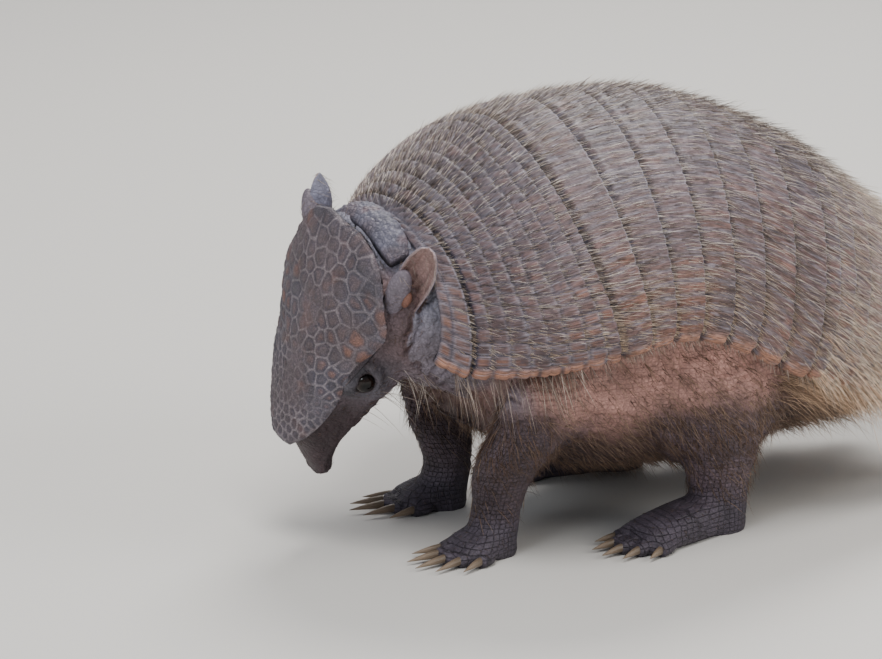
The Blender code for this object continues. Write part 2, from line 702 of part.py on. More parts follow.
# ---------------------------------------------------------------- the tail
def tail_form():
    rings = []
    for share in steps(0, 1, TAIL_RINGS - 1):
        x, y, z, radius = smooth(TAIL, share)
        ahead = Vector(smooth(TAIL, min(share + 0.02, 1))[:3])
        behind = Vector(smooth(TAIL, max(share - 0.02, 0))[:3])
        along = (ahead - behind).normalized()
        across = along.cross(Vector((0, 0, 1))).normalized()
        up = across.cross(along)
        ring = []
        for angle in steps(0, 2 * math.pi, TAIL_SEGMENTS)[:-1]:
            ring.append(Vector((x, y, z)) + (across * math.cos(angle) + up * math.sin(angle)) * radius)
        rings.append(ring)
    return loft(rings, None, TAIL_TIP)


def build():
    builder = Builder()
    add_carapace(builder)
    builder.add("trunk", trunk_form(), "skin")
    trunk_cutter = builder.cutter("cut_by_trunk", trunk_form(GAP))
    floor_cutter = builder.cutter("floor", floor_block())
    add_head(builder, trunk_cutter)
    for kind in ("fore", "hind"):
        for side in (LEFT, RIGHT):
            add_leg(builder, kind, side, trunk_cutter, floor_cutter)
    tail = builder.add("tail", tail_form(), "tail")
    builder.boolean(tail, trunk_cutter, "DIFFERENCE")


build()
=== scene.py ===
"""The looks of a life-size large hairy armadillo, standing with its head bent down to the ground.

The animal looks along -X with its left side at -Y. Its shell is a family of arched rings, counted by the
distance along the crest of the back, and every plate, scute and hair of the shell is placed on it.
"""

import itertools
import math

import bmesh
import bpy
import numpy as np
from mathutils import Matrix, Vector


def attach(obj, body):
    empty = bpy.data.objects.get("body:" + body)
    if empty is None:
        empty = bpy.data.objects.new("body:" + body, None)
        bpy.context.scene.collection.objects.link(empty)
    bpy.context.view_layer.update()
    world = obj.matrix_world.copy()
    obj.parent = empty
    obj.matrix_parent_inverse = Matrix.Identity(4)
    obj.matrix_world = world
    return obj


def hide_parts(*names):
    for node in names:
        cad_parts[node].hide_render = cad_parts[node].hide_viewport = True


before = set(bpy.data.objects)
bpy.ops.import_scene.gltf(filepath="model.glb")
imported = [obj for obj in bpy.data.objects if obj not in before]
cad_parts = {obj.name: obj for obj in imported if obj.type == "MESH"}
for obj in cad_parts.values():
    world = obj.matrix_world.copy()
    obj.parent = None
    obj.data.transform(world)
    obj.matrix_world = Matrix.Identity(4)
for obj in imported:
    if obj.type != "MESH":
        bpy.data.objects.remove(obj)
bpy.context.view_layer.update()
RANDOM = np.random.default_rng(20)
LEFT = -1
RIGHT = 1
UP = np.array([0.0, 0.0, 1.0])
DOWN = np.array([0.0, 0.0, -1.0])

# ---------------------------------------------------------------- sizes of the solids, in metres
ORIGIN = np.array([0.108, 0.0, 0.0])  # of the row's frame, in the frame of the tables below

SCAPULAR_START = 0.010
BANDS_START = 0.060
BAND_LENGTH = 0.0208
BAND_COUNT = 7
PELVIC_START = BANDS_START + BAND_COUNT * BAND_LENGTH
RUMP_END = 0.300
# Distance along the crest, crest x and z, rim x and z, half width, bow and narrowing of the arch.
CARAPACE = np.array([
    (0.000, -0.0640, 0.1325, -0.0655, 0.0850, 0.0475, 0.0030, 0.85),
    (SCAPULAR_START, -0.0570, 0.1385, -0.0535, 0.0790, 0.0535, 0.0030, 0.85),
    (0.034, -0.0365, 0.1525, -0.0320, 0.0820, 0.0750, -0.0020, 1.10),
    (BANDS_START, -0.0130, 0.1650, -0.0060, 0.0875, 0.0860, -0.0042, 1.20),
    (BANDS_START + 2 * BAND_LENGTH, 0.0285, 0.1700, 0.0160, 0.0910, 0.0860, -0.0042, 1.20),
    (BANDS_START + 4 * BAND_LENGTH, 0.0675, 0.1655, 0.0415, 0.0865, 0.0830, -0.0042, 1.20),
    (PELVIC_START, 0.1225, 0.1405, 0.0855, 0.0650, 0.0730, -0.0042, 1.20),
    (0.256, 0.1640, 0.1090, 0.1270, 0.0500, 0.0620, -0.0030, 1.15),
    (RUMP_END, 0.1920, 0.0760, 0.1620, 0.0440, 0.0440, 0.0, 1.05),
])
RIM_ANGLE = math.radians(108)  # how far round its ring the rim is from the crest
ARCH_HEIGHT_POWER = 1.35
PLATE_THICKNESS = 0.0042

TRUNK_START = 0.038
TRUNK_END = 0.2965
# Distance along the crest, height of the belly, half width.
BELLY = np.array([
    (TRUNK_START, 0.0420, 0.0540),
    (0.060, 0.0300, 0.0660),
    (0.110, 0.0210, 0.0740),
    (0.160, 0.0210, 0.0740),
    (PELVIC_START, 0.0250, 0.0690),
    (0.256, 0.0300, 0.0560),
    (TRUNK_END, 0.0420, 0.0380),
])
# Place along the body, height of the middle, half width, half height.
NECK = np.array([
    (-0.030, 0.0970, 0.0490, 0.0400),
    (-0.045, 0.0980, 0.0450, 0.0360),
    (-0.057, 0.0990, 0.0380, 0.0310),
    (-0.066, 0.1000, 0.0320, 0.0285),
    (-0.0755, 0.1030, 0.0245, 0.0255),
])

HEAD_PLACE = np.array([-0.0800, -0.0050, 0.1325]) - ORIGIN
HEAD_PITCH = math.radians(82)
HEAD_ROLL = math.radians(16.8)
HEAD_YAW = math.radians(4)
HEAD_TURN = Matrix.Rotation(HEAD_YAW, 3, "Z") @ Matrix.Rotation(HEAD_ROLL, 3, "X")
HEAD_TURN = HEAD_TURN @ Matrix.Rotation(-HEAD_PITCH, 3, "Y")
HEAD_AXES = np.array([HEAD_TURN @ Vector(axis) for axis in ((-1, 0, 0), (0, -1, 0), (0, 0, 1))])
# Forward, top, bottom, half width.
HEAD = np.array([
    (0.010, -0.0065, -0.0190, 0.0200),
    (0.018, -0.0035, -0.0350, 0.0265),
    (0.030, -0.0015, -0.0420, 0.0298),
    (0.046, -0.0010, -0.0410, 0.0296),
    (0.058, -0.0015, -0.0390, 0.0270),
    (0.070, -0.0020, -0.0350, 0.0212),
    (0.082, -0.0025, -0.0302, 0.0160),
    (0.092, -0.0050, -0.0268, 0.0120),
    (0.100, -0.0115, -0.0262, 0.0090),
    (0.107, -0.0180, -0.0283, 0.0068),
])
NOSE_TIP = np.array([0.1125, 0.0, -0.0250])
# Forward, half width, height of the middle line, drop of the edge.
HEAD_SHIELD = np.array([
    (0.000, 0.0110, 0.0010, 0.0010),
    (0.004, 0.0210, 0.0020, 0.0030),
    (0.012, 0.0280, 0.0033, 0.0060),
    (0.022, 0.0325, 0.0042, 0.0085),
    (0.031, 0.0360, 0.0045, 0.0105),
    (0.039, 0.0335, 0.0044, 0.0095),
    (0.047, 0.0282, 0.0042, 0.0075),
    (0.055, 0.0250, 0.0037, 0.0062),
    (0.065, 0.0240, 0.0031, 0.0060),
    (0.078, 0.0190, 0.0022, 0.0048),
    (0.088, 0.0130, 0.0013, 0.0028),
    (0.095, 0.0060, 0.0006, 0.0012),
])
SHIELD_THICKNESS = 0.0025
SHIELD_EDGE_POWER = 1.8
EYE_RADIUS = 0.0047
EYE_PLACE = np.array([0.0566, 0.0232, -0.0132])
EAR_ENDS = {
    LEFT: (np.array([0.0256, 0.0296, -0.0160]), np.array([-0.0088, 0.0432, -0.0070])),
    RIGHT: (np.array([0.0246, -0.0300, -0.0168]), np.array([0.0008, -0.0400, -0.0095])),
}
EAR_OPENING = np.array([0.05, 0.65, 0.65])
EAR_RADIUS = 0.0060
EAR_THICKNESS = 0.0014
EAR_LOBE = (0.0120, 0.0045, 0.0040)  # half its length, width and depth
EAR_LOBE_PLACE = (0.30, 0.0006, 0.0046)  # share of the ear's length, how far out and how far ahead

NUCHAL_HALF_WIDTH = 0.027
NUCHAL_LENGTH = 0.0085
NUCHAL_DROP = 0.0105
NUCHAL_CREST = np.array([-0.0745, -0.0030, 0.1345])
NUCHAL_SLOPE = math.radians(15)
NUCHAL_LEAN = math.radians(40)

# Forward, outward, height, half length, half width.
FORELEG = np.array([
    (-0.0110, 0.0260, 0.0760, 0.0200, 0.0130),
    (-0.0080, 0.0230, 0.0640, 0.0200, 0.0160),
    (-0.0040, 0.0150, 0.0490, 0.0170, 0.0150),
    (0.0000, 0.0060, 0.0340, 0.0135, 0.0120),
    (0.0000, 0.0000, 0.0200, 0.0105, 0.0100),
    (0.0020, 0.0000, 0.0090, 0.0105, 0.0100),
    (0.0025, 0.0000, -0.0010, 0.0095, 0.0090),
])
HINDLEG = np.array([
    (0.0150, 0.0190, 0.0720, 0.0170, 0.0110),
    (0.0120, 0.0170, 0.0610, 0.0240, 0.0155),
    (0.0070, 0.0090, 0.0460, 0.0215, 0.0165),
    (0.0010, 0.0030, 0.0310, 0.0165, 0.0135),
    (-0.0010, 0.0000, 0.0190, 0.0130, 0.0110),
    (-0.0010, 0.0000, 0.0090, 0.0125, 0.0105),
    (-0.0010, 0.0000, -0.0010, 0.0110, 0.0095),
])
# Forward, half width, height of the top.
FOREFOOT = np.array([
    (-0.004, 0.0085, 0.0140),
    (0.006, 0.0105, 0.0135),
    (0.015, 0.0112, 0.0105),
    (0.020, 0.0100, 0.0085),
])
HINDFOOT = np.array([
    (-0.006, 0.0090, 0.0160),
    (0.012, 0.0108, 0.0155),
    (0.030, 0.0122, 0.0125),
    (0.043, 0.0115, 0.0095),
])
LEG_TABLES = {"fore": (FORELEG, FOREFOOT), "hind": (HINDLEG, HINDFOOT)}
FOOT_DEPTH = 0.0012  # how far a foot's form goes on below the floor, which flattens it
# Length, radius and spacing of the toes, and length of the claws.
TOES = {"fore": (0.0075, 0.0032, 0.0047, 0.0135), "hind": (0.0090, 0.0032, 0.0050, 0.0095)}
TOE_LENGTHS = (0.60, 0.90, 1.00, 0.88, 0.62)
TOE_SPREAD = math.radians(9)
TOE_ROOT = 0.004  # how deep each toe starts in the foot
TOE_STEP_BACK = 0.0012  # how far back the toes next to the middle one start
CLAW_ROOT = 0.62
CLAW_NARROW = 0.8
CLAW_BEND = 1.6
ANKLES = {
    ("fore", LEFT): np.array([-0.028, -0.032, 0.0]),
    ("fore", RIGHT): np.array([-0.012, 0.034, 0.0]),
    ("hind", LEFT): np.array([0.062, -0.0475, 0.0]),
    ("hind", RIGHT): np.array([0.074, 0.0475, 0.0]),
}
FOOT_TURN = {"fore": math.radians(10), "hind": math.radians(12.5)}
# Share of the length, x, y, z, radius.
TAIL = np.array([
    (0.00, 0.1780, 0.0000, 0.0560, 0.0150),
    (0.20, 0.2020, 0.0000, 0.0470, 0.0138),
    (0.40, 0.2270, 0.0030, 0.0350, 0.0115),
    (0.60, 0.2530, 0.0070, 0.0240, 0.0090),
    (0.80, 0.2790, 0.0110, 0.0150, 0.0066),
    (1.00, 0.3060, 0.0140, 0.0090, 0.0042),
])
TAIL_TIP = np.array([0.3117, 0.0146, 0.0082])
SIDE_WORDS = {LEFT: "left", RIGHT: "right"}


# ---------------------------------------------------------------- curves, noise and frames
def curve(keys, t):
    """The values at t of a smooth curve through keys, each a place followed by its values."""
    t = np.asarray(t, float)
    places, values = keys[:, 0], keys[:, 1:]
    n = len(places)
    before = np.maximum(np.arange(n) - 1, 0)
    after = np.minimum(np.arange(n) + 1, n - 1)
    slopes = (values[after] - values[before]) / (places[after] - places[before])[:, None]
    i = np.clip(np.searchsorted(places, t, side="right") - 1, 0, n - 2)
    span = (places[i + 1] - places[i])[..., None]
    w = (t[..., None] - places[i][..., None]) / span
    start = 2 * w**3 - 3 * w**2 + 1
    out, into = (w**3 - 2 * w**2 + w) * span, (w**3 - w**2) * span
    return start * values[i] + (1 - start) * values[i + 1] + out * slopes[i] + into * slopes[i + 1]


def along(keys, count):
    """count rows of a table, spread evenly over its rows."""
    table = np.column_stack([np.arange(len(keys)), keys])
    return curve(table, np.linspace(0, len(keys) - 1, count))


def ease(low, high, value):
    """0 up to low, 1 from high on, and smooth between."""
    t = np.clip((np.asarray(value, float) - low) / (high - low), 0, 1)
    return t * t * (3 - 2 * t)


def fall(low, high, value):
    """1 up to low, 0 from high on, and smooth between."""
    return 1 - ease(low, high, value)


def bump(value, centre, width):
    """1 at the centre, falling off to both sides."""
    return np.exp(-(((value - centre) / width) ** 2))


def unit(vectors):
    """Vectors of length one."""
    return vectors / np.maximum(np.linalg.norm(vectors, axis=-1, keepdims=True), 1e-12)


def signed_power(value, power):
    return np.sign(value) * np.abs(value) ** power


def stacked(*parts):
    """Values broadcast against each other and set side by side, as coordinates are."""
    return np.stack(np.broadcast_arrays(*parts), -1)


def grid(rows, columns):
    """The row's and the column's value at each place of a grid."""
    return np.meshgrid(rows, columns, indexing="ij")


def turns(count):
    """count even angles round a circle."""
    return np.linspace(0, 2 * math.pi, count + 1)[:-1]


LATTICE_SIZE = 32
LATTICE = RANDOM.random((LATTICE_SIZE,) * 3)


def noise(points, size):
    """Smooth noise from 0 to 1, in lumps about size across."""
    q = np.asarray(points, float) / size + 50.0
    cell = np.floor(q).astype(int)
    f = q - cell
    f = f * f * (3 - 2 * f)
    total = 0
    for corner in itertools.product((0, 1), repeat=3):
        weight = np.prod(np.where(corner, f, 1 - f), axis=-1)
        at = (cell + corner) % LATTICE_SIZE
        total = total + weight * LATTICE[at[..., 0], at[..., 1], at[..., 2]]
    return total


def chances(row, column):
    """The random numbers of the scute or scale in a row and a column."""
    return LATTICE[row % LATTICE_SIZE, column % LATTICE_SIZE]


def ridges(points, size):
    """Noise folded into lines: 0 along them and up to 1 between."""
    return np.abs(noise(points, size) - 0.5) * 2


def on_head(local):
    """Places given in the head's frame, forward, left and up, in the row's frame."""
    return HEAD_PLACE + np.asarray(local) @ HEAD_AXES


def in_head(points):
    """Places of the row's frame, in the head's frame."""
    return (points - HEAD_PLACE) @ HEAD_AXES.T


# ---------------------------------------------------------------- the shell's rings
def shell_line(distance, side):
    """The shell's smooth outside: side -1 is the left rim, 0 the crest and 1 the right rim."""
    crest_x, crest_z, rim_x, rim_z, half_width, bow, narrowing = np.moveaxis(curve(CARAPACE, distance), -1, 0)
    angle = side * RIM_ANGLE
    share = (np.cos(angle) - math.cos(RIM_ANGLE)) / (1 - math.cos(RIM_ANGLE))
    height = np.maximum(share, 0) ** ARCH_HEIGHT_POWER
    sine = np.sin(angle) / math.sin(RIM_ANGLE)
    x = rim_x + (crest_x - rim_x) * height + bow * 4 * height * (1 - height)
    y = half_width * np.sign(sine) * np.abs(sine) ** narrowing
    return stacked(x, y, rim_z + (crest_z - rim_z) * height) - ORIGIN


def shell_frame(distance, side):
    """A place on the shell, its outward normal and the direction along the back there."""
    nudge = 0.002
    point = shell_line(distance, side)
    lengthwise = shell_line(distance + nudge, side) - shell_line(distance - nudge, side)
    around = shell_line(distance, side + nudge) - shell_line(distance, side - nudge)
    return point, unit(np.cross(lengthwise, around)), unit(lengthwise)


FINE_SIDES = np.linspace(-1, 1, 401)


def run_along(line):
    """How far each point of a line is from its start."""
    return np.concatenate([[0], np.cumsum(np.linalg.norm(np.diff(line, axis=0), axis=1))])


def arc_of(distance, side):
    """How far round the arch a place is from the crest, in metres."""
    length = run_along(shell_line(np.full(len(FINE_SIDES), distance), FINE_SIDES))
    return np.interp(side, FINE_SIDES, length - length[len(FINE_SIDES) // 2])


def even_sides(distance, count):
    """count places round the arch at even distances."""
    arcs = arc_of(distance, FINE_SIDES)
    return np.interp(np.linspace(arcs[0], arcs[-1], count), arcs, FINE_SIDES)


# ---------------------------------------------------------------- making objects
def add_attribute(mesh, name, values):
    """Three numbers at each vertex, for the materials to read."""
    data = mesh.attributes.new(name, "FLOAT_VECTOR", "POINT").data
    data.foreach_set("vector", np.asarray(values, np.float32).ravel())


def make_object(name, points, corners, sizes, material, attributes, uv=None):
    """An object from arrays: corners lists each face's vertices in turn and sizes how many each face has."""
    mesh = bpy.data.meshes.new(name)
    mesh.vertices.add(len(points))
    mesh.vertices.foreach_set("co", np.asarray(points, np.float32).ravel())
    mesh.loops.add(len(corners))
    mesh.loops.foreach_set("vertex_index", np.asarray(corners, np.int32))
    mesh.polygons.add(len(sizes))
    starts = np.concatenate([[0], np.cumsum(sizes)[:-1]])
    mesh.polygons.foreach_set("loop_start", starts.astype(np.int32))
    mesh.update(calc_edges=True)
    mesh.validate()
    mesh.shade_smooth()
    for key, values in attributes.items():
        add_attribute(mesh, key, values)
    if uv is not None:
        layer = mesh.uv_layers.new(name="OFBake")
        layer.uv.foreach_set("vector", np.asarray(uv, np.float32)[corners].ravel())
    item = bpy.data.objects.new(name, mesh)
    bpy.context.scene.collection.objects.link(item)
    mesh.materials.append(material)
    return item


def stand_for(item, slot, *nodes):
    """Lets a piece ride on the body, in place of the nodes it stands for. slot is not used."""
    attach(item, "root")
    if nodes:
        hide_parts(*nodes)


def grid_faces(rows, columns, first=0):
    """The four corners of each face of a grid of points, row by row."""
    i, j = grid(np.arange(rows - 1), np.arange(columns - 1))
    a = (first + i * columns + j).ravel()
    return stacked(a, a + 1, a + columns + 1, a + columns)


def plate_object(name, outer, inner, material, attributes):
    """A closed plate between a fine outer grid and an inner one with as many columns and fewer rows."""
    rows, columns = outer.shape[:2]
    inner_rows = inner.shape[0]
    points = np.concatenate([outer.reshape(-1, 3), inner.reshape(-1, 3)])
    first = rows * columns
    faces = [grid_faces(rows, columns), grid_faces(inner_rows, columns, first)[:, ::-1]]
    j = np.arange(columns - 1)
    faces.append(stacked(j + 1, j, first + j, first + j + 1))
    last_outer, last_inner = (rows - 1) * columns, first + (inner_rows - 1) * columns
    faces.append(stacked(last_outer + j, last_outer + j + 1, last_inner + j + 1, last_inner + j))
    quads = np.concatenate(faces)
    out_left = np.arange(rows) * columns
    in_left = first + np.arange(inner_rows) * columns
    left_end = np.concatenate([out_left, in_left[::-1]])
    right_end = np.concatenate([out_left + columns - 1, (in_left + columns - 1)[::-1]])[::-1]
    corners = np.concatenate([quads.ravel(), left_end, right_end])
    sizes = np.concatenate([np.full(len(quads), 4), [len(left_end), len(right_end)]])
    across = np.linspace(0.01, 0.99, columns)
    maps = [np.meshgrid(across, along_it) for along_it in (
        np.linspace(0.01, 0.88, rows), np.linspace(0.92, 0.99, inner_rows))]
    uv = np.concatenate([np.stack(grid, -1).reshape(-1, 2) for grid in maps])
    full = {}
    for key, values in attributes.items():
        values = np.asarray(values, float)
        flat = values.reshape((first,) + values.shape[2:])
        full[key] = np.concatenate([flat, np.zeros((len(points) - first,) + flat.shape[1:])])
    item = make_object(name, points, corners, sizes, material, full, uv)
    outward(item)
    return item


def ring_faces(rings, count, first=0):
    """The four corners of each face between closed rings of count points."""
    i, j = grid(np.arange(rings - 1), np.arange(count))
    a = first + i * count + j
    b = first + i * count + (j + 1) % count
    return stacked(a.ravel(), b.ravel(), (b + count).ravel(), (a + count).ravel())


class Shape:
    """Points and faces gathered into one mesh, with a value of each attribute at every point."""

    def __init__(self):
        self.points, self.faces, self.count = [], [], 0
        self.values = {}

    def add(self, points, faces, **values):
        self.points.append(np.asarray(points, float))
        self.faces += [[int(self.count + corner) for corner in face] for face in faces]
        for key, value in values.items():
            value = np.asarray(value, float)
            if value.ndim < 2:
                value = np.tile(value, (len(points), 1))
            self.values.setdefault(key, []).append(value)
        self.count += len(points)

    def tube(self, rings, start=None, end=None, **values):
        """A closed form through rings of points, drawn to a point or closed flat at each end."""
        rings = np.asarray(rings, float)
        rows, columns = rings.shape[:2]
        points = [rings.reshape(-1, 3)]
        faces = ring_faces(rows, columns).tolist()
        last = (rows - 1) * columns
        total = rows * columns
        for pole, first, flip in ((start, 0, True), (end, last, False)):
            ring = list(range(first, first + columns))
            if flip:
                ring = ring[::-1]
            if pole is None:
                faces.append(ring)
                continue
            points.append(np.asarray(pole, float)[None])
            faces += [[a, b, total] for a, b in zip(ring, ring[1:] + ring[:1])]
            total += 1
        self.add(np.concatenate(points), faces, **values)

    def object(self, name, material):
        """The gathered mesh as an object with its faces turned outward."""
        corners = np.array([corner for face in self.faces for corner in face])
        sizes = np.array([len(face) for face in self.faces])
        attributes = {key: np.concatenate(value) for key, value in self.values.items()}
        item = make_object(name, np.concatenate(self.points), corners, sizes, material, attributes)
        outward(item)
        return item


def outward(item):
    """Turns every face of a closed mesh outward."""
    bm = bmesh.new()
    bm.from_mesh(item.data)
    bmesh.ops.recalc_face_normals(bm, faces=bm.faces)
    bm.to_mesh(item.data)
    bm.free()


# ---------------------------------------------------------------- colours
def shade(red, green, blue):
    """A colour given from 0 to 255 as it looks, as light."""
    c = np.array([red, green, blue]) / 255
    return np.where(c <= 0.04045, c / 12.92, ((c + 0.055) / 1.055) ** 2.4)


# Shell plates.
SCUTE_GREY = shade(92, 84, 90)
SCUTE_MAUVE = shade(96, 80, 82)
SCUTE_RUST = shade(134, 92, 74)
SCUTE_LOW = shade(84, 67, 66)
SCUTE_RIM = shade(138, 136, 148)
# Dark slate of the joints between scutes, also laid as painted shade where a band, row, plate or tail ring
# tucks under the one before.
GROOVE = shade(58, 58, 74)
# Painted sunlight: a warm pale laid over the rear of the pelvic shield.
SCUTE_SUNLIT = shade(186, 160, 146)
MARGIN = shade(164, 119, 97)
SHIELD_GREY = shade(87, 82, 90)
SHIELD_BROWN = shade(102, 87, 88)
SHIELD_EDGE = shade(150, 141, 146)
NUCHAL_GREY = shade(99, 98, 112)
# Skin.
# Flank skin: its own colour, brightened with painted light for the flank that lies in shade under the rim.
FLANK = shade(179, 137, 127)
BELLY_SKIN = shade(66, 52, 52)
NECK_SKIN = shade(138, 136, 150)
CHEEK_SKIN = shade(118, 106, 114)
MUZZLE_SKIN = shade(66, 54, 58)
CHEEK_BROWN = shade(88, 66, 64)
LEG_SKIN = shade(100, 86, 94)
FOOT_SKIN = shade(66, 60, 70)
EAR_SKIN = shade(118, 118, 136)
EAR_HOLLOW = shade(160, 132, 128)
EAR_ORANGE = shade(122, 86, 74)
EAR_LOBE_SKIN = shade(116, 108, 118)
TAIL_SKIN = shade(120, 98, 88)
LID_SKIN = shade(86, 83, 91)
CLAW_HORN = shade(122, 106, 90)


def mix(a, b, share):
    """From a to b as share goes from 0 to 1, at each place."""
    share = np.asarray(share, float)[..., None]
    return a * (1 - share) + b * share


# ---------------------------------------------------------------- materials
NOISE_SPAN = (0.3, 0.7)  # where most values of the noise nodes lie


class Nodes:
    """A material whose colour is a painted attribute, with finer patterns laid over it by nodes."""

    def __init__(self, name, roughness, specular=0.4):
        self.material = bpy.data.materials.new(name)
        self.material.use_nodes = True
        self.tree = self.material.node_tree
        self.shader = self.tree.nodes["Principled BSDF"]
        self.shader.inputs["Roughness"].default_value = roughness
        self.shader.inputs["Specular IOR Level"].default_value = specular
        self.colour = self.attribute("tint").outputs["Color"]
        self.height = None
        self.place = self.add("ShaderNodeTexCoord").outputs["Object"]

    def add(self, kind, inputs=None, **settings):
        """A node with its settings, and with values or other nodes' outputs as its inputs."""
        node = self.tree.nodes.new(kind)
        for key, value in settings.items():
            setattr(node, key, value)
        for key, value in (inputs or {}).items():
            if isinstance(value, bpy.types.NodeSocket):
                self.tree.links.new(value, node.inputs[key])
            else:
                node.inputs[key].default_value = value
        return node

    def attribute(self, name):
        return self.add("ShaderNodeAttribute", attribute_name=name)

    def stretched(self, name, scale):
        """A vector attribute, scaled."""
        inputs = {"Vector": self.attribute(name).outputs["Vector"], "Scale": scale}
        return self.add("ShaderNodeMapping", inputs).outputs["Vector"]

    def noise(self, scale, detail=3.0, place=None):
        inputs = {"Scale": scale, "Detail": detail, "Roughness": 0.55, "Vector": place or self.place}
        return self.add("ShaderNodeTexNoise", inputs).outputs["Fac"]

    def cracks(self, scale, place=None, disorder=1.0):
        """0 on the borders of small round cells, and more inside them."""
        inputs = {"Scale": scale, "Randomness": disorder, "Vector": place or self.place}
        node = self.add("ShaderNodeTexVoronoi", inputs, feature="DISTANCE_TO_EDGE")
        return self.spread(node.outputs["Distance"], 0.0, 0.25, 0.0, 1.0)

    def spread(self, source, low, high, to_low, to_high):
        """A value from low to high, carried over to the span from to_low to to_high."""
        inputs = {"Value": source, "From Min": low, "From Max": high, "To Min": to_low, "To Max": to_high}
        return self.add("ShaderNodeMapRange", inputs).outputs["Result"]

    def times(self, a, b):
        return self.add("ShaderNodeMath", {0: a, 1: b}, operation="MULTIPLY").outputs[0]

    def shade_by(self, source, low, high, dark, light):
        """Darkens or lightens the colour between dark and light times by a pattern."""
        inputs = {"Factor": 1.0, "A": self.colour, "B": self.spread(source, low, high, dark, light)}
        node = self.add("ShaderNodeMix", inputs, data_type="RGBA", blend_type="MULTIPLY")
        self.colour = node.outputs["Result"]

    def stain(self, source, low, high, colour, most):
        """Lays another colour over where a pattern is high."""
        inputs = {"Factor": self.spread(source, low, high, 0.0, most), "A": self.colour, "B": (*colour, 1.0)}
        self.colour = self.add("ShaderNodeMix", inputs, data_type="RGBA").outputs["Result"]

    def emboss(self, source, distance, strength):
        """Raises the surface by distance where a pattern is high."""
        inputs = {"Strength": strength, "Distance": distance, "Height": source}
        if self.height is not None:
            inputs["Normal"] = self.height
        self.height = self.add("ShaderNodeBump", inputs).outputs["Normal"]

    def roughen(self, source, low, high, smooth, rough):
        rough_by = self.spread(source, low, high, smooth, rough)
        self.tree.links.new(rough_by, self.shader.inputs["Roughness"])

    def finish(self):
        self.tree.links.new(self.colour, self.shader.inputs["Base Color"])
        if self.height is not None:
            self.tree.links.new(self.height, self.shader.inputs["Normal"])
        return self.material


def horn_material(name, streaks, grains=0.0):
    """Horny scutes: streaked along the lie of the shell, mottled, pitted and worn, or with small grains.

    streaks is how strongly they are streaked, and grains how many grains go to a metre.
    """
    nodes = Nodes(name, 0.5, 0.35)
    if grains:
        cells = nodes.cracks(grains)
        nodes.shade_by(cells, 0.0, 0.8, 0.74, 1.10)
        nodes.emboss(cells, 0.00022, 0.7)
    fibre = nodes.noise(1.0, 2.0, nodes.stretched("lie", (160.0, 2300.0, 1.0)))
    strand = nodes.noise(1.0, 2.0, nodes.stretched("lie", (90.0, 1100.0, 1.0)))
    blotch = nodes.noise(150.0, 3.0)
    fine = nodes.noise(1500.0, 2.0)
    nodes.shade_by(blotch, *NOISE_SPAN, 0.80, 1.20)
    nodes.shade_by(fine, *NOISE_SPAN, 0.88, 1.12)
    nodes.stain(nodes.noise(420.0, 3.0), 0.54, 0.72, GROOVE, 0.45)
    nodes.stain(nodes.noise(90.0, 2.0), 0.58, 0.75, SCUTE_RUST, 0.30)
    nodes.stain(strand, 0.54, 0.68, SCUTE_RIM, 0.9 * streaks)
    nodes.shade_by(fibre, 0.34, 0.62, 1 - streaks, 1 + 0.7 * streaks)
    nodes.emboss(fine, 0.00012, 0.7)
    nodes.emboss(fibre, 0.00022, 0.8)
    nodes.emboss(nodes.noise(380.0, 3.0), 0.0004, 0.6)
    nodes.roughen(blotch, *NOISE_SPAN, 0.42, 0.66)
    return nodes.finish()


def skin_material():
    """Thick wrinkled skin, with rows of small scales where "scaly" is high."""
    nodes = Nodes("skin", 0.6, 0.35)
    blotch = nodes.noise(110.0, 4.0)
    cells = nodes.cracks(620.0)
    large = nodes.cracks(300.0)
    nodes.shade_by(blotch, *NOISE_SPAN, 0.72, 1.26)
    nodes.shade_by(nodes.noise(900.0, 3.0), *NOISE_SPAN, 0.86, 1.14)
    nodes.shade_by(cells, 0.0, 1.0, 0.78, 1.05)
    nodes.emboss(nodes.noise(260.0, 4.0), 0.0006, 0.7)
    grain = nodes.attribute("grain").outputs["Fac"]
    nodes.emboss(nodes.times(large, grain), 0.0005, 0.7)
    nodes.emboss(cells, 0.0002, 0.5)
    scales = nodes.cracks(1.0, nodes.stretched("rows", (540.0, 460.0, 1.0)), 0.35)
    border = nodes.spread(scales, 0.0, 0.40, 1.0, 0.0)
    border = nodes.times(border, nodes.attribute("scaly").outputs["Fac"])
    nodes.shade_by(border, 0.0, 1.0, 1.08, 0.70)
    nodes.emboss(nodes.spread(border, 0.0, 1.0, 1.0, 0.0), 0.0004, 1.0)
    nodes.roughen(blotch, *NOISE_SPAN, 0.48, 0.72)
    return nodes.finish()


def eye_material():
    nodes = Nodes("eye", 0.08, 0.3)
    nodes.shade_by(nodes.noise(900.0, 3.0), *NOISE_SPAN, 0.7, 1.3)
    nodes.roughen(nodes.noise(300.0, 2.0), *NOISE_SPAN, 0.06, 0.14)
    return nodes.finish()


def claw_material():
    nodes = Nodes("claw", 0.4, 0.45)
    lie = nodes.stretched("lie", (150.0, 2600.0, 2600.0))
    grain = nodes.noise(1.0, 3.0, lie)
    nodes.shade_by(grain, *NOISE_SPAN, 0.75, 1.2)
    nodes.emboss(grain, 0.00015, 0.7)
    nodes.roughen(grain, *NOISE_SPAN, 0.3, 0.5)
    return nodes.finish()


def hair_material():
    nodes = Nodes("hair", 0.45, 0.35)
    nodes.shade_by(nodes.noise(420.0, 3.0), *NOISE_SPAN, 0.75, 1.25)
    nodes.roughen(nodes.noise(200.0, 2.0), *NOISE_SPAN, 0.38, 0.6)
    return nodes.finish()


SHELL_MATERIAL = horn_material("shell", 0.52)
SHIELD_MATERIAL = horn_material("head_shield", 0.06, 950.0)
NUCHAL_MATERIAL = horn_material("nuchal", 0.04, 620.0)
SKIN_MATERIAL = skin_material()
EYE_MATERIAL = eye_material()
CLAW_MATERIAL = claw_material()
HAIR_MATERIAL = hair_material()


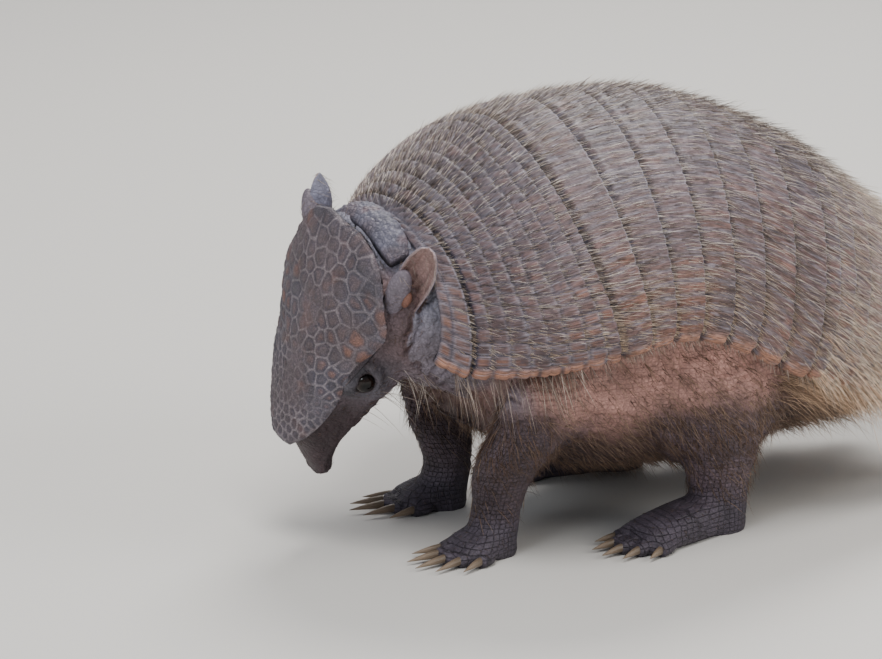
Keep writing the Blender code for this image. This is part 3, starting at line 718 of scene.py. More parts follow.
# ---------------------------------------------------------------- scutes
FAR = 9.0  # further than any scute, in metres
ROW_STAGGER = 0.5  # how far, in scutes, every second row is set aside


def scutes(u, v, length, width, jitter):
    """Many-sided scutes laid in rows, u counting rows and v the scutes of a row.

    Gives the distance to the nearest border and two random numbers for the scute.
    jitter is how far, in scutes, each one strays from its place.
    """
    first = np.full(u.shape, FAR)
    second = np.full(u.shape, FAR)
    chance = np.zeros(u.shape + (2,))
    row = np.floor(u).astype(int)
    for i in (-1, 0, 1):
        r = row + i
        shift = ROW_STAGGER * (r % 2)
        column = np.floor(v - shift).astype(int)
        for j in (-1, 0, 1):
            c = column + j
            wander = chances(r, c)
            along_row = (u - (r + 0.5 + jitter * (wander[..., 0] - 0.5) * 2)) * length
            across_row = (v - (c + 0.5 + shift + jitter * (wander[..., 1] - 0.5) * 2)) * width
            distance = np.hypot(along_row, across_row)
            nearer = distance < first
            second = np.where(nearer, first, np.minimum(second, distance))
            chance = np.where(nearer[..., None], wander[..., 2:4], chance)
            first = np.where(nearer, distance, first)
    return (second - first) / 2, chance


TILE_CORNER = 0.0014  # radius of the corners of squarish scutes


def tiles(u, v, length, width):
    """Squarish scutes in straight rows.

    Gives the distance to the nearest border, two random numbers for the scute and the place along it.
    """
    row, column = np.floor(u).astype(int), np.floor(v).astype(int)
    along_row = (u - row - 0.5) * length
    across_row = (v - column - 0.5) * width
    a, b = length / 2 - np.abs(along_row), width / 2 - np.abs(across_row)
    inner = np.hypot(np.maximum(TILE_CORNER - a, 0), np.maximum(TILE_CORNER - b, 0))
    edge = np.where((a < TILE_CORNER) & (b < TILE_CORNER), TILE_CORNER - inner, np.minimum(a, b))
    return np.maximum(edge, 0), chances(row, column)[..., 2:4], along_row


RIM_COLUMNS = 4  # columns of the grid beyond each rim
FINE = 0.00055  # pitch of the fine meshes of the shell


def plate_grid(distances, columns, rim_reach):
    """Points, normals and distances round the arch of a grid of the shell.

    Beyond each rim the grid goes on along the surface by rim_reach, given for each place of the grid.
    """
    middle = distances[len(distances) // 2, distances.shape[1] // 2]
    inner = even_sides(middle, columns - 2 * RIM_COLUMNS)
    sides = np.concatenate([np.full(RIM_COLUMNS, -1.0), inner, np.full(RIM_COLUMNS, 1.0)])
    sides = np.broadcast_to(sides, distances.shape)
    points, normals, lengthwise = shell_frame(distances, sides)
    steps = np.linspace(0, 1, RIM_COLUMNS + 1)[1:]
    beyond = np.zeros(columns)
    beyond[:RIM_COLUMNS] = steps[::-1]
    beyond[-RIM_COLUMNS:] = steps
    outward_way = np.cross(normals, lengthwise) * (np.sign(sides) * (np.abs(sides) == 1))[..., None]
    check = shell_line(distances, sides) - shell_line(distances, sides * 0.98)
    outward_way *= np.sign(np.sum(outward_way * check, -1, keepdims=True))
    points = points + outward_way * (beyond * rim_reach)[..., None]
    gaps = np.linalg.norm(np.diff(points, axis=1), axis=-1)
    arcs = np.concatenate([np.zeros((len(distances), 1)), np.cumsum(gaps, axis=1)], axis=1)
    arcs -= arcs[:, columns // 2 : columns // 2 + 1]
    return points, normals, arcs, np.broadcast_to(beyond, distances.shape)


def rim_arc(arcs):
    """How far round the arch the rim is from the crest, in each row."""
    return np.abs(arcs[:, [RIM_COLUMNS, -RIM_COLUMNS - 1]]).mean(axis=1, keepdims=True)


def rim_share(arcs):
    """0 at the crest and 1 at either rim."""
    return np.abs(arcs) / rim_arc(arcs)


def plate_columns(distance):
    """How many columns a plate's grid has for its width there."""
    width = arc_of(distance, 1) - arc_of(distance, -1)
    return int(width / FINE) // 2 * 2 + 1 + 2 * RIM_COLUMNS


def scute_colours(edge, chance, share, points, least_rust=0.0):
    """The colour of the shell: dark in the middle of each scute and pale round it, rustier lower down."""
    mauve = ease(0.25, 0.60, share + 0.3 * (chance[..., 0] - 0.5))
    tone = mix(np.broadcast_to(SCUTE_GREY, points.shape), SCUTE_MAUVE, mauve)
    tone = mix(tone, SCUTE_LOW, 0.6 * ease(0.60, 0.98, share))
    rusty = (0.25 + 0.75 * ease(0.40, 0.90, share)) * (0.25 + 0.75 * ease(0.2, 0.9, chance[..., 1]))
    patchy = np.maximum(ease(0.30, 0.60, noise(points, 0.016)), least_rust)
    rusty = rusty * ease(0.0002, 0.0018, edge) * patchy
    tone = mix(tone, SCUTE_RUST, 0.60 * rusty)
    tone = tone * (0.84 + 0.32 * chance[..., 0])[..., None]
    tone = mix(tone, SCUTE_RIM, 0.50 * bump(edge, 0.0004, 0.0005) * (0.35 + 0.65 * noise(points, 0.006)))
    return tone * (0.85 + 0.30 * noise(points, 0.018))[..., None]


def rim_colours(tone, share, breaks):
    """Lays the tan of the rim's own scutes over a plate's colours, with breaks between them."""
    return mix(tone, MARGIN, 0.80 * ease(0.944, 0.974, share) * breaks)


def free_edge_colours(tone, to_end, share, reach, strength):
    """Lays a pale edge over the free rear of a plate."""
    pale = strength * fall(0.0002, reach, to_end) * (1 - 0.6 * ease(0.65, 0.95, share))
    return mix(tone, SCUTE_RIM * 1.25, pale)


RIM_SWELL = 0.0009
LIE_WIDTH = 0.115  # from crest to rim, as the streaks of the horn count it


def finish_plate(node, grid, reach, lifts, inner_distances, inner_lifts, tints, distances):
    """Makes a plate of the shell from its grid and colours, in place of its solid."""
    points, normals, arcs = grid
    outer = points + normals * lifts[..., None]
    columns = points.shape[1]
    inner_grid = plate_grid(np.tile(np.asarray(inner_distances)[:, None], (1, columns)), columns, reach)
    inner_points, inner_normals, _, inner_beyond = inner_grid
    drop = np.asarray(inner_lifts)[:, None] + 0.0012 * inner_beyond
    inner = inner_points + inner_normals * drop[..., None]
    even = np.sign(arcs) * rim_share(arcs) * LIE_WIDTH
    lie = stacked(distances, even, 0)
    item = plate_object(node, outer, inner, SHELL_MATERIAL, {"tint": tints, "lie": lie})
    stand_for(item, "shell", node)


def rim_swell(share, wave):
    """How far the scutes of the rim swell out, by their wave along it."""
    return RIM_SWELL * bump(share, 0.975, 0.030) * wave


def lobes(distance, pitch, reach):
    """How far the scutes of the rim stand out beyond it."""
    return reach * np.sqrt(np.abs(np.sin(math.pi * distance / pitch)))


BAND_ROWS = 42
BAND_SCUTE = 0.0052
BAND_LAP = 0.0016  # how far each band starts under the one before it
BAND_SCALLOP = 0.0005  # how far the rear edge of each scute bows out
BAND_RIM = 0.0030  # how far each band reaches beyond the rim
BAND_INNER_RIM = 0.0015  # and its inner side


def movable_band(number):
    """One of the movable bands, with a free scalloped rear edge."""
    start = BANDS_START + number * BAND_LENGTH
    end = start + BAND_LENGTH - 0.0003
    columns = plate_columns(start + BAND_LENGTH / 2)
    t = np.linspace(0, 1, BAND_ROWS)[:, None]
    rim_reach = BAND_RIM * np.sqrt(np.clip(1 - ((t - 0.55) / 0.5) ** 2, 0, 1))
    straight = np.tile(start - BAND_LAP + (end - start + BAND_LAP) * t, (1, columns))
    arcs = plate_grid(straight, columns, rim_reach)[2]
    slant = 0.15 * noise(stacked(0, arcs, number), 0.02)
    column = arcs / BAND_SCUTE + slant
    inside = column - np.floor(column)
    chance = chances(np.floor(column).astype(int), number)
    side_gap = (0.5 - np.abs(inside - 0.5)) * BAND_SCUTE
    bow = 1 - np.sqrt(np.clip(1 - (2 * inside - 1) ** 2, 0, 1))
    scallop = BAND_SCALLOP * bow * (0.6 + 0.8 * chance[..., 1])
    distances = straight - scallop * ease(0.5, 1.0, t)
    points, normals, _, beyond = plate_grid(distances, columns, rim_reach)
    local = distances - start
    to_end = (end - scallop) - distances
    lifts = -0.0024 + 0.0012 * ease(-BAND_LAP, 0.0, local) + 0.0013 * ease(0.0004, 0.0042, local)
    lifts = lifts + 0.0006 * ease(0.004, BAND_LENGTH, local)
    lifts -= 0.00022 * fall(0.0, 0.0008, side_gap) * ease(0.002, 0.005, local)
    lifts += 0.00016 * ease(0.0006, 0.0022, side_gap) * ease(0.003, 0.008, local)
    inner_groove = bump(np.abs(inside - 0.5) * BAND_SCUTE, 0.0013, 0.00028) * ease(0.006, 0.010, local)
    lifts -= 0.00010 * inner_groove * ease(0.0, 0.004, to_end)
    lifts -= 0.0007 * fall(0.0, 0.0007, to_end)
    lifts += 0.00025 * (noise(stacked(distances * 3, arcs, number), 0.0016) - 0.5)
    lifts -= 0.0016 * beyond**2
    share = rim_share(arcs)
    lifts += rim_swell(share, np.sin(math.pi * np.clip(t, 0, 1)))
    tone = scute_colours(side_gap, chance, share, points)
    tone = free_edge_colours(tone, to_end, share, 0.0013, 0.85)
    # The front of the band, tucked under the one before: the dark skin between the bands and painted shade of
    # the groove.
    tone = mix(tone, GROOVE, 0.92 * fall(0.0008, 0.0030, local))
    tone = rim_colours(tone, share, ease(0.003, 0.006, local))
    inner_distances = [start - BAND_LAP, start + 0.003, start + 0.013, start + 0.0175, end - 0.0008]
    inner_lifts = [-0.0040, -PLATE_THICKNESS, -PLATE_THICKNESS, -0.0016, -0.0004]
    finish_plate(f"movable_band_{number + 1}", (points, normals, arcs), BAND_INNER_RIM, lifts,
                 inner_distances, inner_lifts, tone, distances)


FRONT_ROWS = ((0.0, 0.0034, 0.0100), (0.0, 1.0, 2.0))  # distance from the front edge, and rows up to there
FRONT_RUST = 0.45  # least rustiness of the front band's scutes
PLATE_RIM = 0.0012  # how far the inner side of a shield reaches beyond the rim
FAR_LEFT_COLUMN = 64  # keeps the random numbers of the left half apart from those of the right


def shield_plate(node, start, end, scute, rim_pitch, tuck=0.0014, overlapping=False):
    """A plate of many rows of scutes, given by their length and width.

    rim_pitch is the length of the scutes of the rim, and tuck how far the plate starts under the one
    before it. Overlapping rows look like the movable bands. A plate without them has a free rear edge.
    """
    at_front = node == "front_band"
    pitch, width = scute
    columns = plate_columns((start + end) / 2)
    rows = int((end - start + tuck) / FINE)
    distances = np.tile(np.linspace(start - tuck, end, rows)[:, None], (1, columns))
    reach = 0.0008 + lobes(distances[:, :1] - start, rim_pitch, 0.0026)
    points, normals, arcs, beyond = plate_grid(distances, columns, reach)
    share = rim_share(arcs)
    local = distances - start
    column = (rim_arc(arcs) - np.abs(arcs)) / width + FAR_LEFT_COLUMN * (arcs < 0)
    if overlapping:
        row = local / pitch + 0.12 * (noise(points, 0.012) - 0.5)
        edge, chance = scutes(row, column, pitch, width, 0.07)
        in_row = row - np.floor(row)
        lifts = 0.0005 * in_row - 0.0008 * fall(0.02, 0.18, in_row) - 0.0003
        lifts += 0.00018 * ease(0.0004, 0.0018, edge) - 0.00025 * fall(0.0001, 0.0008, edge)
    else:
        row = np.interp(local, *FRONT_ROWS) if at_front else local / pitch
        row = row + 0.16 * (noise(points, 0.012) - 0.5)
        column = column + 0.5 * (noise(points + 1.0, 0.016) - 0.5)
        if not at_front:
            column = column + 0.5 * (np.floor(row) % 2) * fall(0.55, 0.75, share)
        edge, chance, along_scute = tiles(row, column, pitch, width)
        lifts = 0.00035 * ease(0.0002, 0.0016, edge) - 0.00035 * fall(0.0, 0.0006, edge)
        lifts += 0.00045 * ease(-0.5, 0.5, along_scute / pitch) * ease(0.0001, 0.0006, edge)
    lifts = lifts + 0.00022 * (noise(points, 0.0017) - 0.5)
    lifts -= 0.0020 * fall(-tuck, 0.0022, local) if tuck else 0.0
    lifts -= 0.0014 * beyond**2
    rim_wave = np.abs(np.sin(math.pi * local / rim_pitch))
    lifts += rim_swell(share, rim_wave)
    to_end = end - distances
    lifts -= 0.0008 * fall(0.0, 0.0009, to_end)
    tone = scute_colours(edge, chance, share, points, FRONT_RUST if at_front else 0.0)
    # Painted sunlight: the rear of the pelvic shield is made paler.
    tone = mix(tone, SCUTE_SUNLIT, 0.35 * ease(0.205, 0.270, distances))
    tone = mix(tone, GROOVE, 0.55 * fall(0.0, 0.00035, edge))
    if overlapping:
        # Painted shade where each row tucks under the one before, over the dark skin between the rows.
        tone = mix(tone, GROOVE, 0.80 * fall(0.03, 0.14, in_row))
        tone = mix(tone, SCUTE_RIM * 1.2, 0.6 * ease(0.90, 0.97, in_row))
    if tuck:
        # Painted shade over the front of the plate, where it tucks under the plate before.
        tone = mix(tone, GROOVE, 0.9 * fall(0.0006, 0.0026, local))
    if not overlapping:
        tone = free_edge_colours(tone, to_end, share, 0.0012, 0.75)
    tone = rim_colours(tone, share, ease(0.1, 0.5, rim_wave))
    thick = -PLATE_THICKNESS
    if overlapping:
        inner_lifts = [-0.0036, thick, thick, thick, thick, -0.0036]
        inner_distances = [start - tuck, start + 0.004, start + 0.030, (start + end) / 2 + 0.01, end - 0.012]
    else:
        inner_lifts = [-0.0036, thick, thick, -0.0016, -0.0004]
        inner_distances = [start - tuck, start + 0.004, end - 0.008, end - 0.003]
    inner_distances.append(end - 0.0004)
    finish_plate(node, (points, normals, arcs), PLATE_RIM, lifts,
                 inner_distances, inner_lifts, tone, distances)


SHIELD_GRID = (262, 197)
SHIELD_INNER_ROWS = np.array((0, 0.03, 0.13, 0.37, 0.63, 0.87, 1.0))
SHIELD_WARP = 0.40  # how far, in scutes, their rows wander


def head_shield():
    """The shield of the head, of many-sided plates that grow smaller toward the nose."""
    rows, columns = SHIELD_GRID
    length = HEAD_SHIELD[-1, 0]
    forward, side = grid(np.linspace(0, length, rows), np.linspace(-1, 1, columns))
    half_width, middle, drop = np.moveaxis(curve(HEAD_SHIELD, forward), -1, 0)
    across = -half_width * side
    flat = stacked(forward, across, 0)
    size = 0.0068 - 0.0034 * ease(0.036, 0.082, forward)
    per_metre = 1 / size[1:, 0] + 1 / size[:-1, 0]
    count = np.concatenate([[0], np.cumsum(0.5 * np.diff(forward[:, 0]) * per_metre)])
    row = np.tile(count[:, None], (1, columns)) + SHIELD_WARP * (noise(flat, 0.009) - 0.5)
    column = across / size + SHIELD_WARP * (noise(flat + [0, 0, 0.05], 0.009) - 0.5)
    edge, chance = scutes(row, column, size, size, 0.30)
    lean = SHIELD_EDGE_POWER * drop / half_width * signed_power(side, SHIELD_EDGE_POWER - 1)
    normals = unit(stacked(0, -lean, 1))
    base = stacked(forward, across, middle - drop * np.abs(side) ** SHIELD_EDGE_POWER)
    border = np.minimum((1 - np.abs(side)) * half_width, np.minimum(forward, length - forward))
    height = 0.00045 * ease(0.0003, 0.0028, edge) + 0.00026 * fall(0.0001, 0.0006, edge) - 0.0004
    height += 0.0003 * (chance[..., 0] - 0.5) * ease(0.0003, 0.0012, edge)
    height += 0.00030 * (noise(flat, 0.0013) - 0.5)
    height -= 0.0012 * fall(0.0, 0.0022, border) ** 2
    outer = on_head(base + normals * height[..., None])
    pick = (SHIELD_INNER_ROWS * (rows - 1)).astype(int)
    depth = SHIELD_THICKNESS - 0.0006 * fall(0.0, 0.003, border[pick])
    inner = on_head(base[pick] - normals[pick] * depth[..., None])
    tone = np.broadcast_to(SHIELD_GREY, base.shape) * (0.86 + 0.28 * chance[..., :1])
    tone = mix(tone, SHIELD_BROWN, 0.55 * ease(0.3, 0.7, noise(flat, 0.020)))
    near = np.abs(side) ** 1.5 * np.maximum(bump(forward, 0.044, 0.022), 0.55 * bump(forward, 0.020, 0.016))
    rust = near * ease(0.25, 0.8, chance[..., 1]) * ease(0.0004, 0.0020, edge)
    tone = mix(tone, SCUTE_RUST * 1.15, 0.85 * rust)
    fade = 0.35 + 0.65 * ease(0.35, 0.6, noise(flat + [0, 0, 0.1], 0.012))
    tone = mix(tone, SHIELD_EDGE, 0.52 * fall(0.0001, 0.0006, edge) * fade)
    tone = mix(tone, GROOVE, 0.35 * bump(edge, 0.0010, 0.0005) * fade)
    tone = tone * (0.85 + 0.3 * noise(base, 0.014))[..., None]
    lie = stacked(forward, across, 0)
    item = plate_object("head_shield", outer, inner, SHIELD_MATERIAL, {"tint": tone, "lie": lie})
    stand_for(item, "head_shield", "head_shield")


NUCHAL_GRID = (44, 171)
NUCHAL_INNER_ROWS = np.array((0, 0.2, 0.5, 0.8, 1.0))
NUCHAL_GRAIN = 0.0025  # size of its grains
NUCHAL_LOBE = 0.0062  # width of each lobe of its rear edge
NUCHAL_ROOT = 0.0052  # how deep it sits in the neck
NUCHAL_OVERRUN = 0.0022  # how far it reaches beyond its solid at the front and the rear
NUCHAL_SINK = 0.0022  # how far its ends dip


def nuchal_band():
    """The small plate behind the head shield, of fine grains."""
    rows, columns = NUCHAL_GRID
    share, side = grid(np.linspace(0, 1, rows), np.linspace(-1, 1, columns))
    ahead = np.array([math.cos(NUCHAL_SLOPE), 0, math.sin(NUCHAL_SLOPE)])
    out = np.array([-math.sin(NUCHAL_SLOPE), 0, math.cos(NUCHAL_SLOPE)])
    normals = unit(out + stacked(0, np.tan(side * NUCHAL_LEAN), 0))
    width = side * NUCHAL_HALF_WIDTH
    length = share * (NUCHAL_LENGTH + 2 * NUCHAL_OVERRUN) - NUCHAL_OVERRUN
    edge, chance = scutes(length / NUCHAL_GRAIN, width / NUCHAL_GRAIN, NUCHAL_GRAIN, NUCHAL_GRAIN, 0.25)
    lobe = np.abs(np.sin(math.pi * width / NUCHAL_LOBE)) ** 0.6
    taper = np.sqrt(np.clip(1 - np.abs(side) ** 5, 0, 1))
    middle = NUCHAL_LENGTH / 2
    base = NUCHAL_CREST - ORIGIN + ahead * (middle + (length - middle) * (0.5 + 0.5 * taper))[..., None]
    base = base + ahead * (0.0012 * (lobe - 0.6) * share)[..., None]
    base = base + stacked(0.001 * side**2, width, -NUCHAL_DROP * side**2 - NUCHAL_SINK * side**6)
    height = 0.0034 * np.sin(math.pi * share) ** 0.6 * (0.35 + 0.65 * taper) * (0.85 + 0.15 * lobe) - 0.0018
    height += 0.0005 * ease(0.0, 0.0012, edge) + 0.0006 * (noise(base, 0.004) - 0.5)
    outer = base + normals * height[..., None]
    pick = (NUCHAL_INNER_ROWS * (rows - 1)).astype(int)
    inner = base[pick] - normals[pick] * NUCHAL_ROOT
    tone = np.broadcast_to(NUCHAL_GREY, base.shape) * (0.82 + 0.36 * chance[..., :1])
    tone = mix(tone, SCUTE_MAUVE, 0.5 * ease(0.35, 0.65, noise(base, 0.008)))
    tone = mix(tone, GROOVE, 0.5 * fall(0.0, 0.0004, edge))
    lie = stacked(length, width, 0)
    item = plate_object("nuchal_band", outer, inner, NUCHAL_MATERIAL, {"tint": tone, "lie": lie})
    stand_for(item, "shell", "nuchal_band")


PELVIC_ROWS = 10
PELVIC_SCUTE = ((RUMP_END - PELVIC_START) / PELVIC_ROWS, 0.0052)

shield_plate("front_band", 0.0, SCAPULAR_START - 0.0002, (0.0060, 0.0050), 0.0065, tuck=0.0)
shield_plate("scapular_shield", SCAPULAR_START, BANDS_START - 0.0003, (0.0062, 0.0049), 0.0071)
for number in range(BAND_COUNT):
    movable_band(number)
shield_plate("pelvic_shield", PELVIC_START, RUMP_END, PELVIC_SCUTE, 0.0094, overlapping=True)
head_shield()
nuchal_band()


# ---------------------------------------------------------------- the flesh
TRUNK_CLEARANCE = 0.0017  # between the flesh and the plates over it, at the crest
TRUNK_RIM_CLEARANCE = 0.0024  # and this much more at the rim
# Powers that fill out the sections: the lower they are, the boxier the section.
BELLY_SPREAD = 0.8
BELLY_DEPTH = 0.75
NECK_FULLNESS = 0.92
HEAD_FULLNESS = 0.9
FOOT_FULLNESS = 0.75
# Share of a toe's length, size and height there, as shares of its radius.
TOE_SECTIONS = ((0, 0.95, 0.9), (0.55, 1.05, 0.95), (0.82, 1.0, 0.90), (0.95, 0.85, 0.82), (1.02, 0.5, 0.75))


def trunk_rings():
    """Rings that fill the arch of the shell and hang below it as the belly."""
    distance = np.linspace(TRUNK_START, TRUNK_END, 60)[:, None]
    sides = np.linspace(-1, 1, 49)
    line, normal, _ = shell_frame(distance, sides)
    lift = -PLATE_THICKNESS - TRUNK_CLEARANCE - TRUNK_RIM_CLEARANCE * np.abs(sides)
    upper = line + normal * lift[:, None]
    belly, half_width = np.moveaxis(curve(BELLY, distance), -1, 0)
    rim_x, rim_z = upper[:, -1:, 0], upper[:, -1:, 2]
    angles = np.linspace(0, math.pi, 41)[1:-1]
    y = half_width * signed_power(np.cos(angles), BELLY_SPREAD)
    z = rim_z + (belly - rim_z) * np.sin(angles) ** BELLY_DEPTH
    return np.concatenate([upper, stacked(rim_x, y, z)], axis=1)


def section(angles, half_width, half_height, fullness):
    """A rounded section, an ellipse where fullness is 1 and boxier below that."""
    across = half_width * signed_power(np.cos(angles), fullness)
    return across, half_height * signed_power(np.sin(angles), fullness)


def neck_rings():
    x, middle, half_width, half_height = along(NECK, 20).T[..., None]
    y, z = section(turns(60), half_width, half_height, NECK_FULLNESS)
    return stacked(x, y, middle + z) - ORIGIN


def head_rings():
    forward, top, bottom, half_width = along(HEAD, 60).T[..., None]
    left, up = section(turns(72), half_width, (top - bottom) / 2, HEAD_FULLNESS)
    return on_head(stacked(forward, left, (top + bottom) / 2 + up))


def leg_rings(keys, ankle, side):
    angles = turns(48)
    forward, outward_by, height, half_length, half_width = along(keys, 40).T[..., None]
    x = ankle[0] - forward + half_length * np.cos(angles)
    y = ankle[1] + side * (outward_by + half_width * np.sin(angles))
    return stacked(x, y, height) - ORIGIN


def foot_place(ankle, side, turn, points):
    """Points given forward, outward and up from the ankle's place on the floor."""
    forward = np.array([-math.cos(turn), side * math.sin(turn), 0])
    outward_by = np.array([math.sin(turn), side * math.cos(turn), 0])
    x, y, z = np.split(np.asarray(points), 3, axis=-1)
    return ankle - ORIGIN + x * forward + y * outward_by + z * UP


def foot_rings(keys, ankle, side, turn):
    """Rings from the heel to the ball of the foot."""
    forward, half_width, top = along(keys, 24).T[..., None]
    middle = (top - FOOT_DEPTH) / 2
    across, up = section(turns(40), half_width, middle + FOOT_DEPTH, FOOT_FULLNESS)
    return foot_place(ankle, side, turn, stacked(forward, across, middle + up))


def toe_lines(kind):
    """Where each toe starts, its direction and its length, in the foot's frame, from the inner toe out."""
    ball = LEG_TABLES[kind][1][-1][0]
    toe_length, _, spacing, _ = TOES[kind]
    for number, share in enumerate(TOE_LENGTHS):
        rank = number - 2
        turn = rank * TOE_SPREAD
        start = np.array([ball - TOE_ROOT - TOE_STEP_BACK * rank**2, rank * spacing, 0])
        yield start, np.array([math.cos(turn), math.sin(turn), 0]), toe_length * share + TOE_ROOT


def toe_rings(line, radius, ankle, side, turn):
    """Rings along a toe, which narrows before its pad."""
    start, direction, length = line
    across = np.array([-direction[1], direction[0], 0])
    angles = turns(24)[:, None]
    share, size, height = along(np.array(TOE_SECTIONS), 14).T[..., None, None]
    centre = start + direction * (length * share) + UP * (radius * height)
    ring = np.cos(angles) * across + np.sin(angles) * UP
    return foot_place(ankle, side, turn, centre + ring * radius * size)


HEAD_BACK = (0.004, 0, -0.0130)


def flesh_form():
    """Trunk, neck, head and legs as overlapping closed forms."""
    form = Shape()
    trunk = trunk_rings()
    form.tube(trunk, trunk[0].mean(0), trunk[-1].mean(0))
    form.tube(neck_rings())
    form.tube(head_rings(), on_head(HEAD_BACK), on_head(NOSE_TIP))
    for (kind, side), ankle in ANKLES.items():
        leg, foot = LEG_TABLES[kind]
        form.tube(leg_rings(leg, ankle, side))
        form.tube(foot_rings(foot, ankle, side, FOOT_TURN[kind]))
        for line in toe_lines(kind):
            form.tube(toe_rings(line, TOES[kind][1], ankle, side, FOOT_TURN[kind]))
    return form


def arrays(mesh):
    """The places and the normals of a mesh's vertices."""
    points = np.empty(len(mesh.vertices) * 3)
    mesh.vertices.foreach_get("co", points)
    normals = np.empty(len(mesh.vertices) * 3)
    mesh.vertices.foreach_get("normal", normals)
    return points.reshape(-1, 3), normals.reshape(-1, 3)


def set_points(mesh, points):
    mesh.vertices.foreach_set("co", np.asarray(points, np.float32).ravel())
    mesh.update()


def smoothed(points, edges, rounds):
    """The vertices of a mesh, each drawn halfway to the middle of its neighbours in every round."""
    points = np.array(points, float)
    count = np.bincount(edges.ravel(), minlength=len(points))[:, None]
    for _ in range(rounds):
        total = np.stack([
            np.bincount(edges[:, 0], points[edges[:, 1], k], len(points))
            + np.bincount(edges[:, 1], points[edges[:, 0], k], len(points))
            for k in range(3)
        ], -1)
        points += (total / np.maximum(count, 1) - points) * 0.5
    return points


LEG_JOIN_ROUNDS = 220  # rounds of smoothing, about 7 mm of reach on the fine mesh


def round_leg_joins(points, edges):
    """Lets the legs grow out of the trunk with no ledge or crease."""
    x, _, z = points.T
    share = ease(0.044, 0.058, z) * fall(0.094, 0.104, z) * ease(-0.160, -0.140, x)
    index = np.full(len(points), -1)
    near = np.zeros(len(points), bool)
    near[edges[(share[edges] > 0).any(axis=1)].ravel()] = True
    index[near] = np.arange(near.sum())
    inner = index[edges[near[edges].all(axis=1)]]
    part = points[near]
    for _ in range(LEG_JOIN_ROUNDS):
        part = part + (smoothed(part, inner, 1) - part) * share[near, None]
    points[near] = part
    return points


def edge_array(mesh):
    edges = np.empty(len(mesh.edges) * 2, int)
    mesh.edges.foreach_get("vertices", edges)
    return edges.reshape(-1, 2)


def apply_modifier(item, kind, **settings):
    """Puts a modifier on an object and leaves only its result."""
    modifier = item.modifiers.new(kind.lower(), kind)
    for key, value in settings.items():
        setattr(modifier, key, value)
    graph = bpy.context.evaluated_depsgraph_get()
    mesh = bpy.data.meshes.new_from_object(item.evaluated_get(graph))
    item.modifiers.clear()
    old = item.data
    item.data = mesh
    bpy.data.meshes.remove(old)


FOOT_REACH = 1.6  # of the scale rows, in half widths of the ankle
FLANK_SCALES = 0.45  # how strong the scale rows are on the flanks
EDGE_WANDER = 0.016  # how far the edges between colours wander up and down
LEG_MARGIN = 0.003  # how far a leg's skin reaches beyond its section


class Regions:
    """How far each point of the skin belongs to each part of the body, from 0 to 1."""

    def __init__(self, points):
        self.head_place = in_head(points)
        f, l, u = self.head_place.T
        near_head = (np.abs(l) < 0.036) & (u < 0.02) & (u > -0.056)
        self.head = np.where(near_head, ease(0.006, 0.020, f), 0)
        x, y, z = points.T
        self.height = z + EDGE_WANDER * (noise(points, 0.020) - 0.5)
        self.neck = fall(-0.148, -0.136, x) * (1 - self.head) * ease(0.058, 0.070, z)
        self.rows = points[:, [2, 0]] * [0.9, 0.7]
        self.leg = np.zeros(len(points))
        self.foot = np.zeros(len(points))
        self.hind = np.zeros(len(points))
        for (kind, side), ankle in ANKLES.items():
            by_height = LEG_TABLES[kind][0][::-1][:, [2, 0, 1, 3, 4]]
            forward, outward_by, half_length, half_width = curve(by_height, np.clip(z, 0, 0.07)).T
            across = (x + ORIGIN[0] - ankle[0] + forward) / (half_length + LEG_MARGIN)
            sideways = (y - ankle[1] - side * outward_by) / (half_width + LEG_MARGIN)
            off_axis = np.hypot(across, sideways)
            leg = fall(0.95, 1.35, off_axis) * fall(0.041, 0.066, self.height)
            low = fall(0.014, 0.019, z)
            self.leg = np.maximum(self.leg, np.maximum(leg, low))
            here = (leg > 0.5) & (low < 0.5) | (low >= 0.5) & (off_axis < FOOT_REACH)
            around = np.arctan2(across, side * sideways) * half_width
            self.rows[here] = stacked(z, around)[here]
            if kind == "hind":
                self.hind = np.maximum(self.hind, leg)
            self.foot = np.maximum(self.foot, low)
        self.body = (1 - self.leg) * (1 - self.head) * (1 - self.neck)
        self.belly = self.body * fall(0.036, 0.064, self.height)
        self.scaly = np.maximum(self.leg, FLANK_SCALES * self.body * (1 - self.belly))


def mirrored(place, side):
    """A place given for the left half of the head, on the half asked for."""
    return np.asarray(place) * [1, -side, 1]


def from_eye(head_place, side, offset=(0, 0, 0)):
    """The distance from an eye's middle, or from a place at an offset from it."""
    return np.linalg.norm(head_place - np.array(offset) - mirrored(EYE_PLACE, side), axis=-1)


NOSTRIL = np.array([0.1105, 0.0038, -0.0228])
NOSTRIL_SIZE = np.array([0.0014, 0.0016, 0.0014])
HIDDEN_DEPTH = 0.0022  # how far the flesh under the shell is drawn in
NAPE_RISE = 0.0062  # how far the top of the neck is lifted toward the nuchal band
# How far the skin is drawn in from the solids, for its coat.
COAT = {"body": 0.0008, "belly": 0.0030, "neck": 0.0006, "head": 0.0003, "leg": 0.0005}
SOLE_HEIGHT = 0.0008  # nothing below this height is moved up or down
# How deep or high each form of the skin is.
BODY_FOLD, NECK_FOLD, LEG_CREASE, CHEEK_CREASE = 0.0010, 0.0020, 0.0005, 0.0007
LUMP, BROW, SOCKET, POUCH, CHEEK_HOLLOW = 0.0015, 0.0026, 0.0034, 0.0009, 0.0011
MOUTH_LINE, LIP, NOSTRIL_DEPTH, NOSTRIL_RIM = 0.0013, 0.0006, 0.0024, 0.0007


